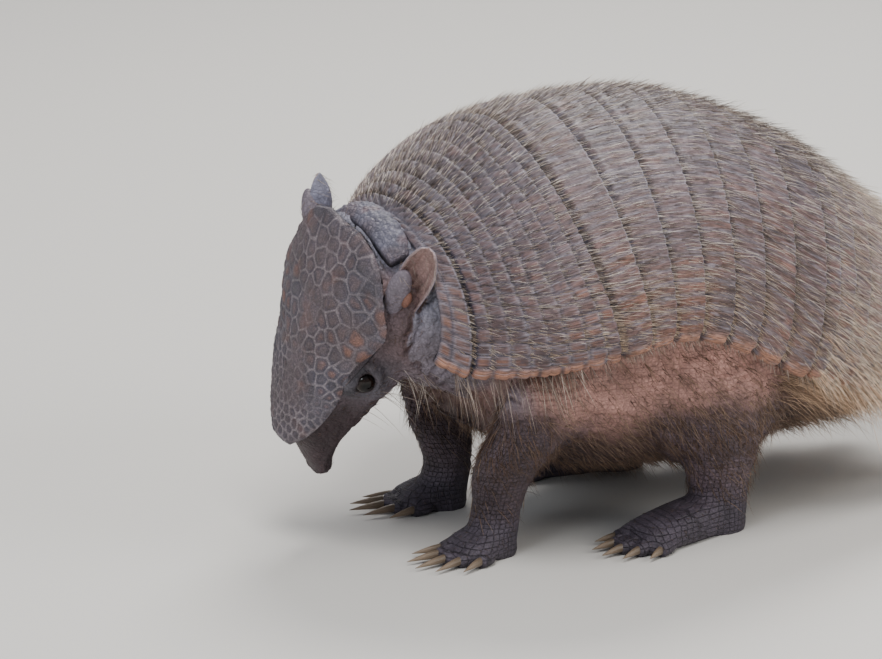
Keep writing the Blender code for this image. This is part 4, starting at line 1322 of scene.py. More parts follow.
def sculpt(points, normals):
    """Draws the flesh in under its coat and gives it folds, lumps, sockets, nostrils and a mouth line."""
    place = Regions(points)
    x, y, z = points.T
    move = -COAT["body"] * place.body - COAT["belly"] * place.belly - COAT["neck"] * place.neck
    move += NAPE_RISE * place.neck * ease(0.35, 0.85, normals[:, 2]) * ease(0.095, 0.110, z)
    move -= COAT["head"] * place.head
    move -= COAT["leg"] * place.leg * ease(0.002, 0.006, z)
    warp = noise(points, 0.012) * 0.010
    folds = ridges(stacked(x * 0.55 + warp, y, z * 1.3), 0.0055)
    move -= BODY_FOLD * fall(0.0, 0.34, folds) * place.body
    upright = ridges(stacked(x * 1.5 + warp, y * 0.7, z * 0.42), 0.0052)
    move -= NECK_FOLD * fall(0.0, 0.35, upright) * place.neck
    lumps = noise(points, 0.020) - 0.5
    move += LUMP * lumps * (place.body + place.neck) * (1 - place.leg)
    creases = ridges(stacked(x, y, z * 1.8), 0.0060)
    move -= LEG_CREASE * fall(0.0, 0.30, creases) * place.leg * (1 - place.foot)
    f, l, u = place.head_place.T
    for side in (LEFT, RIGHT):
        socket = from_eye(place.head_place, side)
        brow = from_eye(place.head_place, side, (-0.002, 0, 0.004))
        pouch = from_eye(place.head_place, side, (0.001, 0, -0.0085))
        hollow = np.hypot((f - 0.078) / 0.014, (u + 0.013) / 0.006)
        move += BROW * bump(brow, 0.0074, 0.0026) * place.head
        move -= SOCKET * fall(0.0034, 0.0070, socket) * place.head
        move += POUCH * bump(pouch, 0.0, 0.005) * place.head
        move -= CHEEK_HOLLOW * bump(hollow, 0, 1.0) * place.head * ease(0, 0.004, np.abs(l))
    chin = curve(HEAD, np.clip(f, 0.01, 0.107))[..., 1]
    mouth_run = ease(0.064, 0.072, f) * fall(0.1085, 0.1110, f) * place.head
    mouth_run = mouth_run * ease(0.0, 0.002, np.abs(l))
    move -= MOUTH_LINE * bump(u, chin + 0.0050, 0.0007) * mouth_run
    move += LIP * bump(u, chin + 0.0066, 0.0013) * mouth_run
    for side in (LEFT, RIGHT):
        nostril = np.linalg.norm((place.head_place - mirrored(NOSTRIL, side)) / NOSTRIL_SIZE, axis=-1)
        move -= NOSTRIL_DEPTH * bump(nostril, 0, 1.0)
        move += NOSTRIL_RIM * bump(nostril, 1.9, 0.7)
    cheek = ridges(place.head_place * [0.6, 1, 1.4], 0.0048)
    move -= CHEEK_CREASE * fall(0, 0.35, cheek) * place.head * fall(0.085, 0.095, f)
    move = np.where(hidden_share(points) > 0.9, -HIDDEN_DEPTH, move)
    moved = points + normals * move[:, None]
    moved[:, 2] = np.where(z < SOLE_HEIGHT, z, moved[:, 2])
    return moved


def skin_colours(points, place):
    """The colour and the strength of the grain at each point."""
    z = points[:, 2]
    f, _, u = place.head_place.T
    colour = mix(np.broadcast_to(FLANK, points.shape), BELLY_SKIN, fall(0.038, 0.080, place.height))
    colour = mix(colour, NECK_SKIN, place.neck)
    colour = mix(colour, CHEEK_SKIN, place.neck * fall(0.085, 0.105, z) * 0.7)
    leg = mix(np.broadcast_to(LEG_SKIN, points.shape), FOOT_SKIN, fall(0.010, 0.026, z))
    colour = mix(colour, leg, place.leg)
    # Painted shade: the forelegs get a darker copy of the leg skin.
    colour = mix(colour, leg * 0.6, (place.leg - place.hind) * 0.8 * (1 - place.foot))
    head = mix(np.broadcast_to(CHEEK_SKIN, points.shape), MUZZLE_SKIN, ease(0.055, 0.080, f))
    head = mix(head, CHEEK_BROWN, 0.8 * bump(u, -0.022, 0.016) * fall(0.034, 0.052, f))
    for side in (LEFT, RIGHT):
        socket = from_eye(place.head_place, side)
        pouch = from_eye(place.head_place, side, (0.006, 0.0, -0.0085))
        head = mix(head, LID_SKIN, 0.9 * bump(socket, 0.0080, 0.0035))
        head = mix(head, MUZZLE_SKIN * 0.5, fall(0.0045, 0.0062, socket))
        head = mix(head, LID_SKIN * 1.4, 0.8 * bump(pouch, 0.0, 0.0042))
    colour = mix(colour, head, place.head)
    colour = colour * (0.82 + 0.36 * noise(points, 0.020))[:, None]
    return colour, 0.25 + 0.9 * place.neck + 0.2 * place.leg + 0.3 * place.head


def above_rim(points, count):
    """How far each point is above the shell's rim, which is taken at count places."""
    rim = shell_line(np.linspace(TRUNK_START, RUMP_END, count), np.full(count, 1.0))
    return points[:, 2] - np.interp(points[:, 0], rim[:, 0], rim[:, 2])


def hidden_share(points):
    """1 for the flesh that the shell hides, 0 for what shows."""
    return ease(0.006, 0.014, above_rim(points, 40)) * ease(-0.158, -0.146, points[:, 0])


def eye_axes(side):
    """Out of the eye, forward along the head and up, in the head's frame."""
    out = unit(np.array([0.16, -side * 0.93, 0.32]))
    ahead = unit(np.array([1.0, 0, 0]) - out * out[0])
    return out, ahead, np.cross(out, ahead) * side


LID_ROWS = 20
LID_INNER_ROWS = 6
LID_COLUMNS = 64
LID_THICKNESS = 0.0010
LID_SPREAD = math.radians(118)  # how far the lids reach round the eye from its front


def lids(shape, side):
    """Thick lids round the eye, with a fold over the upper one."""
    out, ahead, up = eye_axes(side)
    turn = turns(LID_COLUMNS)
    radial = np.cos(turn)[:, None] * ahead + np.sin(turn)[:, None] * up
    raised = np.maximum(np.sin(turn), 0)
    corner = np.abs(np.cos(turn)) ** 1.5
    opening = np.radians(np.where(np.sin(turn) > 0, 38 + 27 * corner, 46 + 19 * corner))
    outside, inside = np.linspace(0, 1, LID_ROWS), np.linspace(1, 0, LID_INNER_ROWS)
    rings = []
    for number, share in enumerate([*outside, *inside]):
        radius = np.full(LID_COLUMNS, EYE_RADIUS + 0.00008)
        if number < LID_ROWS:
            thick = LID_THICKNESS * (0.75 + 0.6 * raised)
            fold = (0.0012 + 0.0024 * raised) * bump(share, 0.36, 0.20) - 0.0005 * bump(share, 0.12, 0.05)
            radius = EYE_RADIUS + 0.0001 + thick * ease(0.0, 0.10, share) + fold + 0.0007 * share
        tilt = opening + (LID_SPREAD - opening) * share
        rings.append((np.cos(tilt)[:, None] * out + np.sin(tilt)[:, None] * radial) * radius[:, None])
    points = on_head(np.array(rings) + mirrored(EYE_PLACE, side)).reshape(-1, 3)
    faces = ring_faces(len(rings) + 1, LID_COLUMNS) % len(points)
    edge = np.repeat(np.concatenate([ease(0.10, 0.0, outside), np.ones(LID_INNER_ROWS)]), LID_COLUMNS)
    tint = mix(np.tile(LID_SKIN, (len(points), 1)), MUZZLE_SKIN * 0.6, edge)
    shape.add(points, faces.tolist(), tint=tint, grain=np.full((len(points), 1), 0.6))


EAR_GRID = (56, 64)
EAR_CURL = math.radians(112)  # how far round the funnel reaches at its foot, to either side
EAR_UNCURL = math.radians(34)  # and how much less at its tip
EAR_BLUNTNESS = 14
LOBE_STRETCH = 1.2
BALL_ROWS = 26
BALL_COLUMNS = 40


def ball(shape, middle, axes, sizes, swell, colour, grain):
    """A rounded lump on the head, given by its middle, its three axes and its half size along each."""
    theta = np.linspace(0.08, math.pi - 0.08, BALL_ROWS)[:, None]
    phi = turns(BALL_COLUMNS)[None]
    wide = np.sin(theta) * (1 + swell * np.cos(theta))
    rings = middle + (np.cos(theta) * sizes[0] * np.ones_like(phi))[..., None] * axes[0]
    rings = rings + (wide * np.cos(phi) * sizes[1])[..., None] * axes[1]
    rings = rings + (wide * np.sin(phi) * sizes[2])[..., None] * axes[2]
    start, end = middle + axes[0] * sizes[0], middle - axes[0] * sizes[0]
    count = BALL_ROWS * BALL_COLUMNS + 2
    shape.tube(on_head(rings), on_head(start), on_head(end), tint=np.tile(colour, (count, 1)),
               grain=np.full((count, 1), grain))


def ear(shape, side):
    """A leaf rolled into a funnel, with a smooth lobe and a small tragus before it."""
    foot, tip = EAR_ENDS[side]
    run = tip - foot
    axis = unit(run)
    opening = mirrored(EAR_OPENING, side)
    opening = unit(opening - axis * (opening @ axis))
    across = np.cross(axis, opening) * side
    rows, columns = EAR_GRID
    share = np.linspace(0, 1, rows)[:, None]
    turn = np.linspace(-1, 1, columns)[None]
    radius = EAR_RADIUS * (0.70 + 0.48 * np.sin(math.pi * share**1.6))
    reach = (EAR_CURL - EAR_UNCURL * share) * np.sqrt(np.maximum(1 - share**EAR_BLUNTNESS, 0.002))
    angle = turn * reach
    direction = across * np.sin(angle)[..., None] - opening * np.cos(angle)[..., None]
    centre = foot + run * share[..., None]
    edge = 1 - np.abs(turn) ** 6 * np.ones_like(share)
    edge = edge * np.sqrt(np.clip((1 - share) / 0.06, 0, 1))
    thickness = EAR_THICKNESS * (0.25 + 0.65 * edge)
    ripple = 0.00035 * np.sin(angle * 9 + share * 4) * ease(0.05, 0.4, share) * edge
    ripple = ripple + 0.0005 * bump(np.abs(turn), 0.93, 0.05)
    outer = centre + direction * radius[..., None]
    inner = centre + direction * (radius - thickness - ripple)[..., None]
    total = rows * columns
    faces = grid_faces(rows, columns).tolist() + grid_faces(rows, columns, total)[:, ::-1].tolist()
    border = list(range(columns)) + [i * columns + columns - 1 for i in range(1, rows)]
    border += [(rows - 1) * columns + j for j in range(columns - 2, -1, -1)]
    border += [i * columns for i in range(rows - 2, 0, -1)]
    faces += [[a, b, b + total, a + total] for a, b in zip(border, border[1:] + border[:1])]
    points = np.concatenate([outer.reshape(-1, 3), inner.reshape(-1, 3)])
    granular = noise(points, 0.0016)[:, None]
    outside = np.tile(EAR_SKIN, (total, 1)) * (0.8 + 0.4 * granular[:total])
    inside = np.tile(EAR_HOLLOW, (total, 1)) * (0.75 + 0.5 * granular[total:])
    aside = np.abs(turn) * np.ones_like(share)
    inside = mix(inside, SHIELD_EDGE, 0.4 * bump(aside, 1.0, 0.10).ravel())
    # Painted shade deep in the ear's funnel, darkest at its foot.
    deep = fall(0.15, 0.45, share) * (1 - 0.5 * aside)
    inside = mix(inside, MUZZLE_SKIN * 0.5, 0.8 * deep.ravel())
    tint = np.concatenate([outside, inside])
    shape.add(on_head(points), faces, tint=tint, grain=np.full((len(points), 1), 0.3))
    lobe_share, out_by, ahead_by = EAR_LOBE_PLACE
    middle = foot + run * lobe_share + opening * out_by + across * ahead_by
    length, width, depth = EAR_LOBE
    tragus = middle + across * -width * 0.95 + opening * 0.0012 + axis * 0.001
    axes = (axis, across, opening)
    ball(shape, tragus, axes, (0.0040, 0.0019, 0.0022), 0.0, EAR_ORANGE, 0.2)
    ball(shape, middle, axes, (length * LOBE_STRETCH, width, depth), 0.12, EAR_LOBE_SKIN, 0.15)


TAIL_GRID = (190, 64)
TAIL_RING = 0.0058  # length of each ring
TAIL_SCALE = 0.0046  # width of each scale


def tail(shape):
    """The tail, ringed with rows of small scales."""
    rows, columns = TAIL_GRID
    values = curve(TAIL, np.linspace(0, 1, rows))
    centre, radius = values[:, :3] - ORIGIN, values[:, 3]
    forward = unit(np.gradient(centre, axis=0))
    across = unit(np.cross(forward, UP))
    up = np.cross(across, forward)
    angles = turns(columns)
    u = np.tile((run_along(centre) / TAIL_RING)[:, None], (1, columns))
    number = np.floor(u)
    in_ring = u - number
    count = np.maximum(np.round(2 * math.pi * radius / TAIL_SCALE), 6)
    scale_count = count[np.minimum((number * rows / u.max()).astype(int), rows - 1)]
    v = angles / (2 * math.pi) * scale_count + 0.5 * (number % 2)
    side_gap = (0.5 - np.abs(v - np.floor(v) - 0.5)) * TAIL_SCALE
    height = 0.0006 * in_ring - 0.0009 * fall(0.0, 0.22, in_ring)
    height = height - 0.0004 * fall(0, 0.0007, side_gap) - COAT["leg"]
    ring = across[:, None] * np.cos(angles)[None, :, None] + up[:, None] * np.sin(angles)[None, :, None]
    reach = radius[:, None] + height * np.minimum(1, radius[:, None] / 0.008)
    rings = centre[:, None] + ring * reach[..., None]
    chance = chances(number.astype(int), np.floor(v).astype(int))[..., 5]
    tint = np.broadcast_to(TAIL_SKIN, rings.shape) * (0.8 + 0.4 * chance[..., None])
    tint = mix(tint, SCUTE_RIM, 0.4 * ease(0.8, 0.95, in_ring))
    # Painted shade where each ring tucks under the one before, over the darker skin between the rings.
    tint = mix(tint, GROOVE, 0.7 * fall(0.04, 0.2, in_ring))
    tint = np.concatenate([tint.reshape(-1, 3), TAIL_SKIN[None]])
    shape.tube(rings, None, TAIL_TIP - ORIGIN, tint=tint, grain=np.full((rows * columns + 1, 1), 0.4))


VOXEL = 0.0010
SKIN_FACES = 128000  # triangles of the skin before lids, ears and tail
HIDDEN_LOSS = 1e-5  # how much sooner the flesh under the shell is simplified
FLESH_NODES = ("trunk", "neck", "head", "tail", "foreleg_left", "foreleg_right", "hindleg_left",
               "hindleg_right", "ear_left", "ear_right")


def build_skin():
    """One closed skin over trunk, neck, head, legs, ears and tail."""
    item = flesh_form().object("skin", SKIN_MATERIAL)
    apply_modifier(item, "REMESH", mode="VOXEL", voxel_size=VOXEL)
    mesh = item.data
    points, _ = arrays(mesh)
    edges = edge_array(mesh)
    set_points(mesh, round_leg_joins(smoothed(points, edges, 4), edges))
    points, normals = arrays(mesh)
    points = sculpt(points, normals)
    points[:, 2] = np.maximum(points[:, 2], 0.0)
    set_points(mesh, points)
    group = item.vertex_groups.new(name="hidden")
    group.add(list(range(len(points))), 0.5, "REPLACE")
    group.add(np.nonzero(hidden_share(points) > 0.5)[0].tolist(), 1.0, "REPLACE")
    count = sum(len(face.vertices) - 2 for face in mesh.polygons)
    apply_modifier(item, "DECIMATE", ratio=SKIN_FACES / count, vertex_group="hidden",
                   vertex_group_factor=HIDDEN_LOSS, use_collapse_triangulate=True)
    mesh = item.data
    points, _ = arrays(mesh)
    points[:, 2] = np.maximum(points[:, 2], 0.0)
    place = Regions(points)
    colour, grain = skin_colours(points, place)
    shape = Shape()
    corners = np.empty(len(mesh.loops), int)
    mesh.loops.foreach_get("vertex_index", corners)
    shape.add(points, corners.reshape(-1, 3).tolist(), tint=colour, grain=grain[:, None])
    bpy.data.objects.remove(item)
    for side in (LEFT, RIGHT):
        lids(shape, side)
        ear(shape, side)
    tail(shape)
    shape.values["grain"] = [np.repeat(value, 3, axis=1) for value in shape.values["grain"]]
    skin = shape.object("flesh", SKIN_MATERIAL)
    extra = len(skin.data.vertices) - len(points)
    add_attribute(skin.data, "scaly", np.pad(place.scaly[:, None] * [1, 1, 1], ((0, extra), (0, 0))))
    add_attribute(skin.data, "rows", np.pad(place.rows, ((0, extra), (0, 1))))
    bm = bmesh.new()
    bm.from_mesh(skin.data)
    bmesh.ops.triangulate(bm, faces=[face for face in bm.faces if len(face.verts) > 4])
    bm.to_mesh(skin.data)
    bm.free()
    skin.data.shade_smooth()
    stand_for(skin, "skin", *FLESH_NODES)
    return skin


# ---------------------------------------------------------------- eyes and claws
EYE_BLACK = shade(10, 8, 9)
EYE_BROWN = shade(34, 22, 17)
EYE_WHITE = shade(50, 42, 40)
EYE_GRID = (44, 64)
CLAW_GRID = (26, 20)
CLAW_SINK = 0.0012  # how far each claw's root is set back from the end of its toe


def eye(side):
    """A dark ball with a brown ring round its pupil."""
    out, ahead, up = eye_axes(side)
    rows, columns = EYE_GRID
    theta = np.linspace(0.03, math.pi - 0.03, rows)[:, None]
    phi = turns(columns)[None]
    radius = EYE_RADIUS * (1 + 0.02 * bump(theta, 0, 1.2))
    ring = np.cos(theta)[..., None] * out + (np.sin(theta) * np.cos(phi))[..., None] * ahead
    ring = ring + (np.sin(theta) * np.sin(phi))[..., None] * up
    centre = mirrored(EYE_PLACE, side)
    rings = on_head(centre + ring * radius[..., None])
    dark = mix(EYE_BLACK, EYE_BROWN, bump(theta, 0.62, 0.20) * np.ones_like(phi))
    dark = mix(dark, EYE_WHITE, ease(1.15, 1.35, theta) * np.ones_like(phi))
    tint = np.concatenate([dark.reshape(-1, 3), EYE_BLACK[None], EYE_WHITE[None]])
    shape = Shape()
    poles = [on_head(centre + out * EYE_RADIUS * way * 1.02) for way in (1, -1)]
    shape.tube(rings, poles[0], poles[1], tint=tint)
    name = f"eye_{SIDE_WORDS[side]}"
    item = shape.object(name, EYE_MATERIAL)
    stand_for(item, "eye", name)


def claws(kind, side):
    """The five claws of a foot, curved down nearly to the floor."""
    shape = Shape()
    ankle, turn = ANKLES[kind, side], FOOT_TURN[kind]
    _, toe_radius, _, claw_length = TOES[kind]
    rows, columns = CLAW_GRID
    angles = turns(columns)
    share = np.linspace(0, 1, rows)
    size = toe_radius * CLAW_ROOT * (1 - 0.93 * share**1.5)
    for number, (start, direction, reach) in enumerate(toe_lines(kind)):
        length = claw_length * (0.55 + 0.45 * TOE_LENGTHS[number])
        across = np.array([-direction[1], direction[0], 0])
        base = start + direction * (reach - CLAW_SINK) + np.array([0, 0, toe_radius * 0.8])
        drop = (base[2] - toe_radius * CLAW_ROOT * 0.9) * share**CLAW_BEND
        centre = base + direction * ((length + CLAW_SINK) * share)[:, None] - UP * drop[:, None]
        lowest = centre[:, 2] - size
        centre[:, 2] += np.maximum(0.0002 - lowest, 0)
        wide = np.cos(angles)[None, :, None] * across * CLAW_NARROW
        tall = np.sin(angles)
        tall = np.where(tall > 0, tall, tall * 0.7)
        rings = centre[:, None] + (wide + tall[None, :, None] * UP) * size[:, None, None]
        tip = centre[-1] + direction * 0.0003
        points = foot_place(ankle, side, turn, rings)
        lie = stacked(np.tile((share * length)[:, None], (1, columns)),
                        np.tile(np.cos(angles) * toe_radius, (rows, 1)),
                        np.tile(np.sin(angles) * toe_radius, (rows, 1))).reshape(-1, 3)
        horn = mix(CLAW_HORN, CLAW_HORN * 0.55, fall(0.0, 0.7, share))
        tint = np.repeat(horn, columns, axis=0)
        shape.tube(points, None, foot_place(ankle, side, turn, tip), tint=np.vstack([tint, CLAW_HORN[None]]),
                   lie=np.vstack([lie, lie[-1:]]))
    word = SIDE_WORDS[side]
    item = shape.object(f"claws_{kind}_{word}", CLAW_MATERIAL)
    stand_for(item, "claw", *(f"claw_{kind}_{word}_{number}" for number in range(1, 6)))


SKIN = build_skin()
for side in (LEFT, RIGHT):
    eye(side)
for kind, side in ANKLES:
    claws(kind, side)


# ---------------------------------------------------------------- hair
HAIR_GOLD = shade(252, 216, 180)
HAIR_PALE = shade(246, 236, 224)
HAIR_BROWN = shade(128, 100, 84)
HAIR_DARK = shade(66, 54, 50)
HAIR_BELLY = shade(92, 70, 62)
LOCK_PATCH = 0.003  # size of each lock's patch on the unwrap
PATCH_EDGE = 0.001  # how far the patches keep from the edge of the unwrap
FLOOR_CLEAR = 0.0004
HAIR_REACH = 0.93  # how near the rim the hair of the shell grows
RUMP_HAIR_REACH = 0.95
# How deep the roots of the shell's hair and of the skin's long and short hair are.
SHELL_ROOT, LONG_ROOT, SHORT_ROOT = 0.0004, 0.0003, 0.0002
HAIR_GROOVE = 0.0026  # no hair of the shell grows this soon behind the edge of a row of scutes
# Where the rings of a lock are, as shares of its length.
SHORT_LOCK = (0.0, 0.5, 1.0)
LONG_LOCK = (0.0, 0.33, 0.7, 1.0)
THIN_LOCK = (0.0, 0.3, 0.65, 1.0)
THIN_RADIUS = 0.00011
TAIL_HAIR_RADIUS = 0.00010


def locks(name, roots, ways, bends, lengths, radii, tints, places, slot, levels=SHORT_LOCK):
    """Thin three-sided hairs that taper to a point, bent by bends along their length."""
    count, rings = len(roots), len(levels) - 1
    side = unit(np.cross(ways, np.tile([0.13, 0.21, 0.97], (count, 1))))
    up = np.cross(side, ways)
    step = 3 * rings + 1
    points, colours, uv = np.empty((count, step, 3)), np.empty((count, step, 3)), np.empty((count, step, 2))
    for i, level in enumerate(levels):
        centre = roots + lengths[:, None] * (ways * level + bends * level**2)
        # Each lock is darker at its root and paler at its tip: partly the hair's own colour, partly painted
        # shade deep in the coat.
        colours[:, 3 * i:3 * i + 3] = (tints * (0.78 + 0.40 * level))[:, None]
        if i == rings:
            points[:, -1] = centre
            uv[:, -1] = places + [0, LOCK_PATCH]
            continue
        for k in range(3):
            angle = 2 * math.pi * k / 3
            offset = side * math.cos(angle) + up * math.sin(angle)
            points[:, 3 * i + k] = centre + offset * (radii * (1 - 0.65 * level))[:, None]
            uv[:, 3 * i + k] = places + [(k - 1) * LOCK_PATCH / 2, level * LOCK_PATCH]
    points[..., 2] = np.maximum(points[..., 2], FLOOR_CLEAR)
    pattern, sizes = [2, 1, 0], [3]
    for i, k in itertools.product(range(rings), range(3)):
        a, b = 3 * i + k, 3 * i + (k + 1) % 3
        face = [a, b, b + 3, a + 3] if i < rings - 1 else [a, b, 3 * rings]
        pattern += face
        sizes.append(len(face))
    corners = (np.arange(count)[:, None] * step + np.array(pattern)).ravel()
    item = make_object(name, points.reshape(-1, 3), corners, np.tile(sizes, count), HAIR_MATERIAL,
                       {"tint": colours.reshape(-1, 3)},
                       np.clip(uv.reshape(-1, 2), PATCH_EDGE, 1 - PATCH_EDGE))
    stand_for(item, slot)


def scatter(count, low, high):
    return low + (high - low) * RANDOM.random(count)


def either_side(count):
    return np.where(RANDOM.random(count) < 0.5, -1.0, 1.0)


def blend(count, a, b, share=None):
    """Colours between two, by the share given or a random one."""
    share = RANDOM.random(count) if share is None else share
    return mix(np.tile(a, (count, 1)), np.tile(b, (count, 1)), share)


def swerve(count, amount):
    return RANDOM.normal(0, amount, (count, 3))


def thickness(count, radius):
    return radius * scatter(count, 0.7, 1.2)


def shell_places(side, share):
    """Where the locks of the shell lie on its unwrap, by their side and their share of its length."""
    return stacked(0.5 + side / 2.04, share * 0.97 + 0.01)


def shell_hair(name, count, start, end, rows, length, radius, dark):
    """Hair that grows from the rear edges of the scutes and lies back over the shell.

    length gives the hair's length from the distance along the back and how low it grows, and dark is the
    share of dark hairs.
    """
    distance = scatter(count, start, end)
    pitch = (end - start) / rows
    row = np.floor((distance - start) / pitch)
    in_groove = (distance - start) - row * pitch < HAIR_GROOVE
    distance = np.where(in_groove, distance + scatter(count, 0.003, 0.012), distance)
    side = scatter(count, -HAIR_REACH, HAIR_REACH)
    point, normal, back = shell_frame(distance, side)
    down = np.cross(normal, back) * np.sign(side)[:, None]
    down = down * np.sign(-down[:, 2:3])
    low = np.abs(side)
    up = (0.16 * (1 + 1.3 * fall(0.0, 0.35, low)) * scatter(count, 0.4, 1.6))[:, None]
    ways = unit(back + normal * up + down * (0.05 + 0.15 * low)[:, None] + swerve(count, 0.10))
    bends = -normal * 0.08 + down * 0.10 + swerve(count, 0.05)
    lengths = length(distance, low) * scatter(count, 0.55, 1.25) * (1 - 0.4 * ease(0.70, 0.90, low))
    crest = fall(0.05, 0.45, low)
    tint = blend(count, HAIR_BROWN, HAIR_PALE)
    tint = mix(tint, HAIR_DARK, 0.9 * (RANDOM.random(count) < dark + 0.25 * crest))
    golden = np.maximum(ease(0.55, 0.95, low), ease(0.21, 0.28, distance))
    tint = mix(tint, HAIR_GOLD, 0.6 * golden * RANDOM.random(count))
    # Paler toward the rear: partly the rear's paler hair, partly painted sunlight.
    tint = mix(tint, HAIR_PALE, 0.5 * ease(0.195, 0.260, distance))
    locks(name, point - normal * SHELL_ROOT, ways, bends, lengths, radius * scatter(count, 0.75, 1.2), tint,
          shell_places(side, (distance - start) / (end - start)), "shell")


def rump_hair(count):
    """The long pale hair that covers the rear of the shell."""
    distance = RUMP_END - (RUMP_END - PELVIC_START) * RANDOM.random(count) ** 1.9
    side = either_side(count) * (1 - RANDOM.random(count) ** 1.6 * 0.85)
    side = np.clip(side, -RUMP_HAIR_REACH, RUMP_HAIR_REACH)
    point, normal, back = shell_frame(distance, side)
    low = np.abs(side)
    ways = back + normal * (0.20 * scatter(count, 0.4, 1.5))[:, None] + DOWN * (0.15 + 0.30 * low)[:, None]
    ways = unit(ways + swerve(count, 0.12))
    bends = DOWN * 0.16 + swerve(count, 0.05)
    lengths = (0.013 + 0.019 * ease(0.215, 0.27, distance)) * scatter(count, 0.55, 1.2)
    tint = blend(count, HAIR_GOLD, HAIR_PALE)
    tint = mix(tint, HAIR_BROWN, 0.7 * (RANDOM.random(count) < 0.30))
    locks("rump_hair", point - normal * SHELL_ROOT, ways, bends, lengths, thickness(count, 0.00014), tint,
          shell_places(side, distance / RUMP_END), "shell", LONG_LOCK)


def rim_hair(count):
    """Long hair that hangs from under the shell's rim, longest at the rear and below its front corner."""
    at_front = RANDOM.random(count) < 0.12
    distance = np.where(at_front, scatter(count, 0.004, 0.045), scatter(count, 0.03, RUMP_END))
    side = either_side(count) * scatter(count, 0.93, 1.0)
    point, normal, back = shell_frame(distance, side)
    rear = ease(0.19, 0.27, distance)
    front = fall(0.030, 0.060, distance)
    lengths = (0.0065 + 0.0255 * rear + 0.012 * front) * scatter(count, 0.5, 1.25)
    ways = back * (0.35 + 0.75 * rear)[:, None] + DOWN * (0.8 - 0.2 * rear)[:, None] + normal * 0.10
    ways = unit(ways + swerve(count, 0.16))
    bends = DOWN * 0.22 + swerve(count, 0.06)
    tint = blend(count, HAIR_BROWN, HAIR_PALE, 0.6 * RANDOM.random(count))
    tint = mix(tint, HAIR_GOLD, 0.8 * rear)
    tint = mix(tint, HAIR_DARK, 0.7 * (RANDOM.random(count) < 0.45 - 0.35 * rear))
    roots = point - normal * scatter(count, 0.0015, 0.0045)[:, None]
    locks("rim_hair", roots, ways, bends, lengths, thickness(count, 0.00013), tint,
          shell_places(side, distance / RUMP_END), "shell", LONG_LOCK)


class SkinRoots:
    """Places spread over the skin by how thickly hair grows there."""

    def __init__(self, item):
        mesh = item.data
        mesh.calc_loop_triangles()
        self.points, self.normals = arrays(mesh)
        self.triangles, self.loops = (np.empty((len(mesh.loop_triangles), 3), int) for _ in range(2))
        mesh.loop_triangles.foreach_get("vertices", self.triangles.ravel())
        mesh.loop_triangles.foreach_get("loops", self.loops.ravel())
        self.uv = np.empty((len(mesh.loops), 2))
        mesh.uv_layers["OFBake"].uv.foreach_get("vector", self.uv.ravel())
        a, b, c = (self.points[self.triangles[:, k]] for k in range(3))
        self.areas = np.linalg.norm(np.cross(b - a, c - a), axis=1) / 2
        self.middles = (a + b + c) / 3
        self.regions = Regions(self.middles)
        below_rim = fall(0.000, 0.006, above_rim(self.middles, 60))
        self.open = np.where(self.middles[:, 0] > -0.150, below_rim, 1.0)

    def pick(self, count, density):
        """Roots, normals and places on the unwrap."""
        weight = self.areas * density
        chosen = RANDOM.choice(len(weight), count, p=weight / weight.sum())
        split = np.sort(RANDOM.random((count, 2)), axis=1)
        share = stacked(split[:, 0], split[:, 1] - split[:, 0], 1 - split[:, 1])[..., None]
        corners = self.triangles[chosen]
        roots = (self.points[corners] * share).sum(1)
        normals = unit((self.normals[corners] * share).sum(1))
        return roots, normals, (self.uv[self.loops[chosen]] * share).sum(1)


def laid(directions, normals, lift):
    """Directions brought down along the surface, then raised by lift."""
    flat = directions - normals * np.sum(directions * normals, -1, keepdims=True)
    return unit(unit(flat) + normals * lift)


def body_hair(skin, count):
    """Hair of the belly and the flanks, longer and paler to the rear."""
    place = skin.regions
    x, _, z = skin.middles.T
    density = skin.open * (place.body + 0.25 * place.leg * (1 - place.foot)) * (x > -0.160)
    density = density * (0.35 + 0.65 * ease(0.075, 0.040, z)) * (x < 0.085)
    density = density * (0.3 + 0.7 * ease(-0.13, -0.05, x))
    roots, normals, places = skin.pick(count, density)
    rear = ease(-0.03, 0.05, roots[:, 0])
    way = stacked(0.75 + 0.25 * rear, 0, -0.65 + 0.2 * rear) + swerve(count, 0.22)
    lengths = (0.0095 + 0.013 * rear) * scatter(count, 0.5, 1.3)
    low = fall(0.035, 0.06, roots[:, 2])
    tint = blend(count, HAIR_BELLY, HAIR_GOLD, np.clip(RANDOM.random(count) * (0.30 + 0.70 * rear), 0, 1))
    tint = mix(tint, HAIR_DARK, 0.55 * low * (RANDOM.random(count) < 0.6))
    bends = DOWN * 0.18 + swerve(count, 0.08)
    locks("body_hair", roots - normals * LONG_ROOT, laid(way, normals, 0.28), bends, lengths,
          thickness(count, 0.00014), tint, places, "skin")


def flank_hair(skin, count):
    """Single long hairs that stand out from the flanks."""
    x, _, z = skin.middles.T
    density = ease(-0.04, 0.02, x) * ease(0.050, 0.075, z) * skin.open * skin.regions.body
    roots, normals, places = skin.pick(count, density)
    way = [0.9, 0.0, -0.35] + swerve(count, 0.15)
    locks("flank_hair", roots - normals * LONG_ROOT, laid(way, normals, 0.35),
          DOWN * 0.16 + swerve(count, 0.05), scatter(count, 0.012, 0.030), np.full(count, THIN_RADIUS),
          blend(count, HAIR_GOLD, HAIR_BROWN), places, "skin", THIN_LOCK)


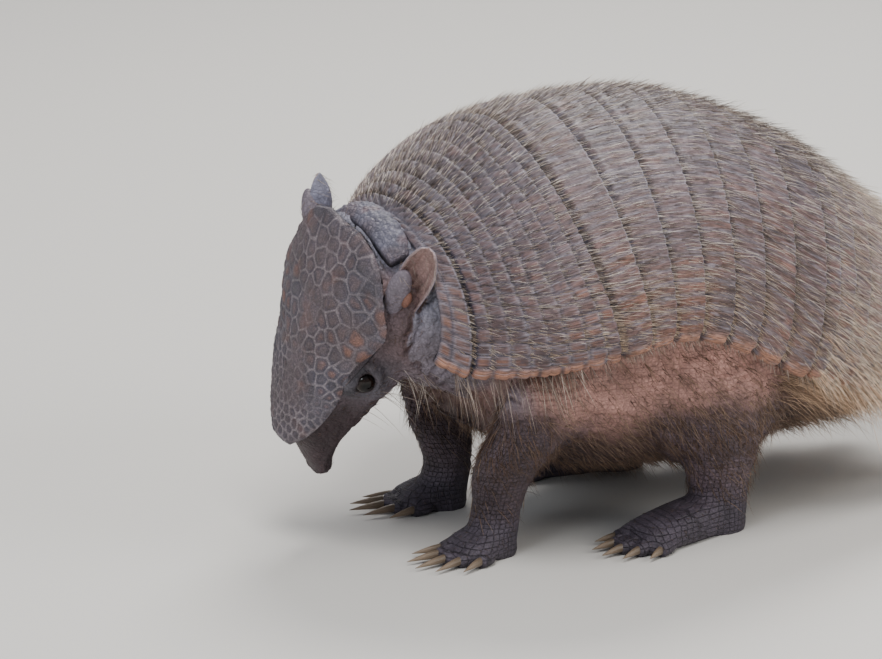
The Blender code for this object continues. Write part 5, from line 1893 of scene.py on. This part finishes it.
def leg_hair(skin, count):
    """Short dark hair of the legs, that stops short of the toes."""
    place = skin.regions
    density = place.leg * (0.25 + 0.75 * (1 - place.foot)) * ease(0.0015, 0.006, skin.middles[:, 2])
    roots, normals, places = skin.pick(count, density * skin.open)
    upper = ease(0.022, 0.055, roots[:, 2])
    way = [0.35, 0.0, -0.9] + swerve(count, 0.25)
    lengths = (0.0022 + 0.0070 * upper) * scatter(count, 0.6, 1.3)
    tint = blend(count, HAIR_DARK, HAIR_BROWN, RANDOM.random(count) * (0.3 + 0.7 * upper))
    locks("leg_hair", roots - normals * SHORT_ROOT, laid(way, normals, 0.22), swerve(count, 0.05), lengths,
          thickness(count, 0.00012), tint, places, "leg_skin")


def face_hair(skin, count):
    """Fine hair of the cheeks and the neck."""
    place = skin.regions
    f, _, u = in_head(skin.middles).T
    round_eye = bump(np.hypot(f - EYE_PLACE[0], u - EYE_PLACE[2]), 0, 0.009)
    density = place.head * ease(0.010, 0.018, f) * (1 - 0.85 * round_eye)
    density = density * (u < -0.004) + 0.5 * place.neck
    roots, normals, places = skin.pick(count, density)
    f = in_head(roots)[:, 0]
    back = -HEAD_AXES[0] * 0.9 - HEAD_AXES[2] * 0.25
    neck = fall(0.0, 0.02, f)
    way = back * (1 - neck)[:, None] + np.array([0.7, 0, -0.7]) * neck[:, None]
    lengths = (0.0020 + 0.0025 * ease(0.09, 0.05, f) + 0.0022 * neck) * scatter(count, 0.5, 1.4)
    tint = blend(count, HAIR_DARK, HAIR_BROWN) * 0.9
    tint = mix(tint, HAIR_PALE, 0.6 * neck * RANDOM.random(count))
    locks("face_hair", roots - normals * SHORT_ROOT, laid(way + swerve(count, 0.3), normals, 0.25),
          swerve(count, 0.05), lengths, thickness(count, 0.00009), tint, places, "skin")


def tail_hair(count):
    """Short hairs that stand out from between the rings of the tail."""
    line = curve(TAIL, np.linspace(0.05, 0.98, 80))[:, :3] - ORIGIN
    share = RANDOM.random(count)
    values = curve(TAIL, 0.04 + 0.92 * share)
    centre, radius = values[:, :3] - ORIGIN, values[:, 3]
    ahead = unit(line[-1] - line[0])
    aside = swerve(count, 1.0)
    aside = unit(aside - ahead * (aside @ ahead)[:, None])
    roots = centre + aside * (radius - 0.0006)[:, None]
    ways = unit(ahead + aside * 0.35 + swerve(count, 0.12))
    places = stacked(0.02 + 0.96 * share, scatter(count, 0.02, 0.97))
    locks("tail_hair", roots, ways, swerve(count, 0.05), scatter(count, 0.003, 0.009),
          np.full(count, TAIL_HAIR_RADIUS), blend(count, HAIR_BROWN, HAIR_PALE), places, "tail")


def whiskers(skin, count):
    """Bristles below the eyes and on the chin."""
    f, _, u = in_head(skin.middles).T
    below_eye = bump(f, 0.052, 0.012) * bump(u, -0.030, 0.008)
    chin = bump(f, 0.075, 0.014) * bump(u, -0.030, 0.005)
    roots, normals, places = skin.pick(count, skin.regions.head * (below_eye + 0.6 * chin))
    way = -HEAD_AXES[2] * 0.6 - HEAD_AXES[0] * 0.2 + normals * 0.8 + swerve(count, 0.2)
    locks("whiskers", roots - normals * LONG_ROOT, unit(way), DOWN * 0.15 + swerve(count, 0.06),
          scatter(count, 0.008, 0.021), np.full(count, THIN_RADIUS), blend(count, HAIR_BROWN, HAIR_PALE),
          places, "skin", THIN_LOCK)


def all_hair():
    """Every coat piece, in the order of its random draws."""
    shell_hair("scapular_hair", 14000, 0.001, BANDS_START, 8,
               lambda d, low: 0.0072 + 0.001 * low, THIN_RADIUS, 0.45)
    shell_hair("band_hair", 19500, BANDS_START, PELVIC_START, BAND_COUNT,
               lambda d, low: 0.0090 + 0.003 * low + 0.003 * ease(0.12, 0.2, d), THIN_RADIUS, 0.45)
    shell_hair("pelvic_hair", 10500, PELVIC_START, RUMP_END - 0.001, PELVIC_ROWS,
               lambda d, low: 0.0105 + 0.014 * ease(0.225, 0.290, d) + 0.005 * low, 0.00012, 0.25)
    rump_hair(4800)
    rim_hair(1900)
    skin = SkinRoots(SKIN)
    body_hair(skin, 13000)
    flank_hair(skin, 1500)
    leg_hair(skin, 6500)
    face_hair(skin, 3200)
    tail_hair(700)
    whiskers(skin, 90)


def unwrap(item):
    """Lays the skin out flat, by the way its faces look, as its map for baking."""
    bpy.ops.object.select_all(action="DESELECT")
    item.select_set(True)
    bpy.context.view_layer.objects.active = item
    item.data.uv_layers.new(name="OFBake")
    bpy.ops.object.mode_set(mode="EDIT")
    bpy.ops.mesh.select_all(action="SELECT")
    bpy.ops.uv.smart_project(angle_limit=math.radians(66), island_margin=0.002, margin_method="FRACTION")
    bpy.ops.object.mode_set(mode="OBJECT")


unwrap(SKIN)
all_hair()


# ---------------------------------------------------------------- floor, light and camera
FLOOR_SIZE = 8
FLOOR_COLOUR = (0.62, 0.61, 0.59, 1)
FLOOR_ROUGHNESS = 0.75
LIGHT_TARGET = Vector((-0.12, 0, 0.07))
# Name, place, size, power and colour.
LIGHTS = (
    ("key", (-0.45, -0.60, 1.45), 0.7, 18, (1.0, 0.97, 0.93)),
    ("fill", (-0.95, -0.55, 0.55), 0.3, 2.5, (0.90, 0.95, 1.0)),
    ("back", (0.5, 0.7, 1.2), 0.7, 20, (1.0, 0.97, 0.93)),
    ("low", (0.80, -1.0, 0.80), 0.8, 10.5, (1.0, 0.96, 0.90)),
)
SKY_COLOUR = (0.93, 0.95, 1.0, 1)
SKY_STRENGTH = 0.36
AIM = Vector((-0.1494, -0.0119, 0.0864))
CAMERA_AZIMUTH = math.radians(-30)
CAMERA_ELEVATION = math.radians(15)
CAMERA_DISTANCE = 2.356
CAMERA_LENS = 250
CAMERA_SENSOR = 36
CAMERA_CLIP = 0.05


def stage():
    """A plain pale floor."""
    bpy.ops.mesh.primitive_plane_add(size=FLOOR_SIZE, location=(0, 0, 0))
    floor = bpy.context.object
    floor.name = "floor"
    material = bpy.data.materials.new("floor")
    material.use_nodes = True
    shader = material.node_tree.nodes["Principled BSDF"]
    shader.inputs["Base Color"].default_value = FLOOR_COLOUR
    shader.inputs["Roughness"].default_value = FLOOR_ROUGHNESS
    floor.data.materials.append(material)


def area_light(name, place, size, power, colour):
    """A round lamp that looks at the middle of the animal."""
    light = bpy.data.lights.new(name, "AREA")
    light.shape = "DISK"
    light.size = size
    light.energy = power
    light.color = colour
    item = bpy.data.objects.new(name, light)
    item.location = place
    item.rotation_euler = (LIGHT_TARGET - Vector(place)).to_track_quat("-Z", "Y").to_euler()
    bpy.context.scene.collection.objects.link(item)


def world_and_camera():
    """Even light from all round, and the photo's view."""
    world = bpy.data.worlds.new("studio")
    world.use_nodes = True
    background = world.node_tree.nodes["Background"]
    background.inputs["Color"].default_value = SKY_COLOUR
    background.inputs["Strength"].default_value = SKY_STRENGTH
    bpy.context.scene.world = world
    camera = bpy.data.cameras.new("camera")
    camera.lens = CAMERA_LENS
    camera.sensor_width = CAMERA_SENSOR
    camera.clip_start = CAMERA_CLIP
    item = bpy.data.objects.new("camera", camera)
    way = Vector((
        math.sin(CAMERA_AZIMUTH) * math.cos(CAMERA_ELEVATION),
        -math.cos(CAMERA_AZIMUTH) * math.cos(CAMERA_ELEVATION),
        math.sin(CAMERA_ELEVATION),
    ))
    item.location = AIM + way * CAMERA_DISTANCE
    item.rotation_euler = way.to_track_quat("Z", "Y").to_euler()
    bpy.context.scene.collection.objects.link(item)
    bpy.context.scene.camera = item


stage()
for light in LIGHTS:
    area_light(*light)
world_and_camera()
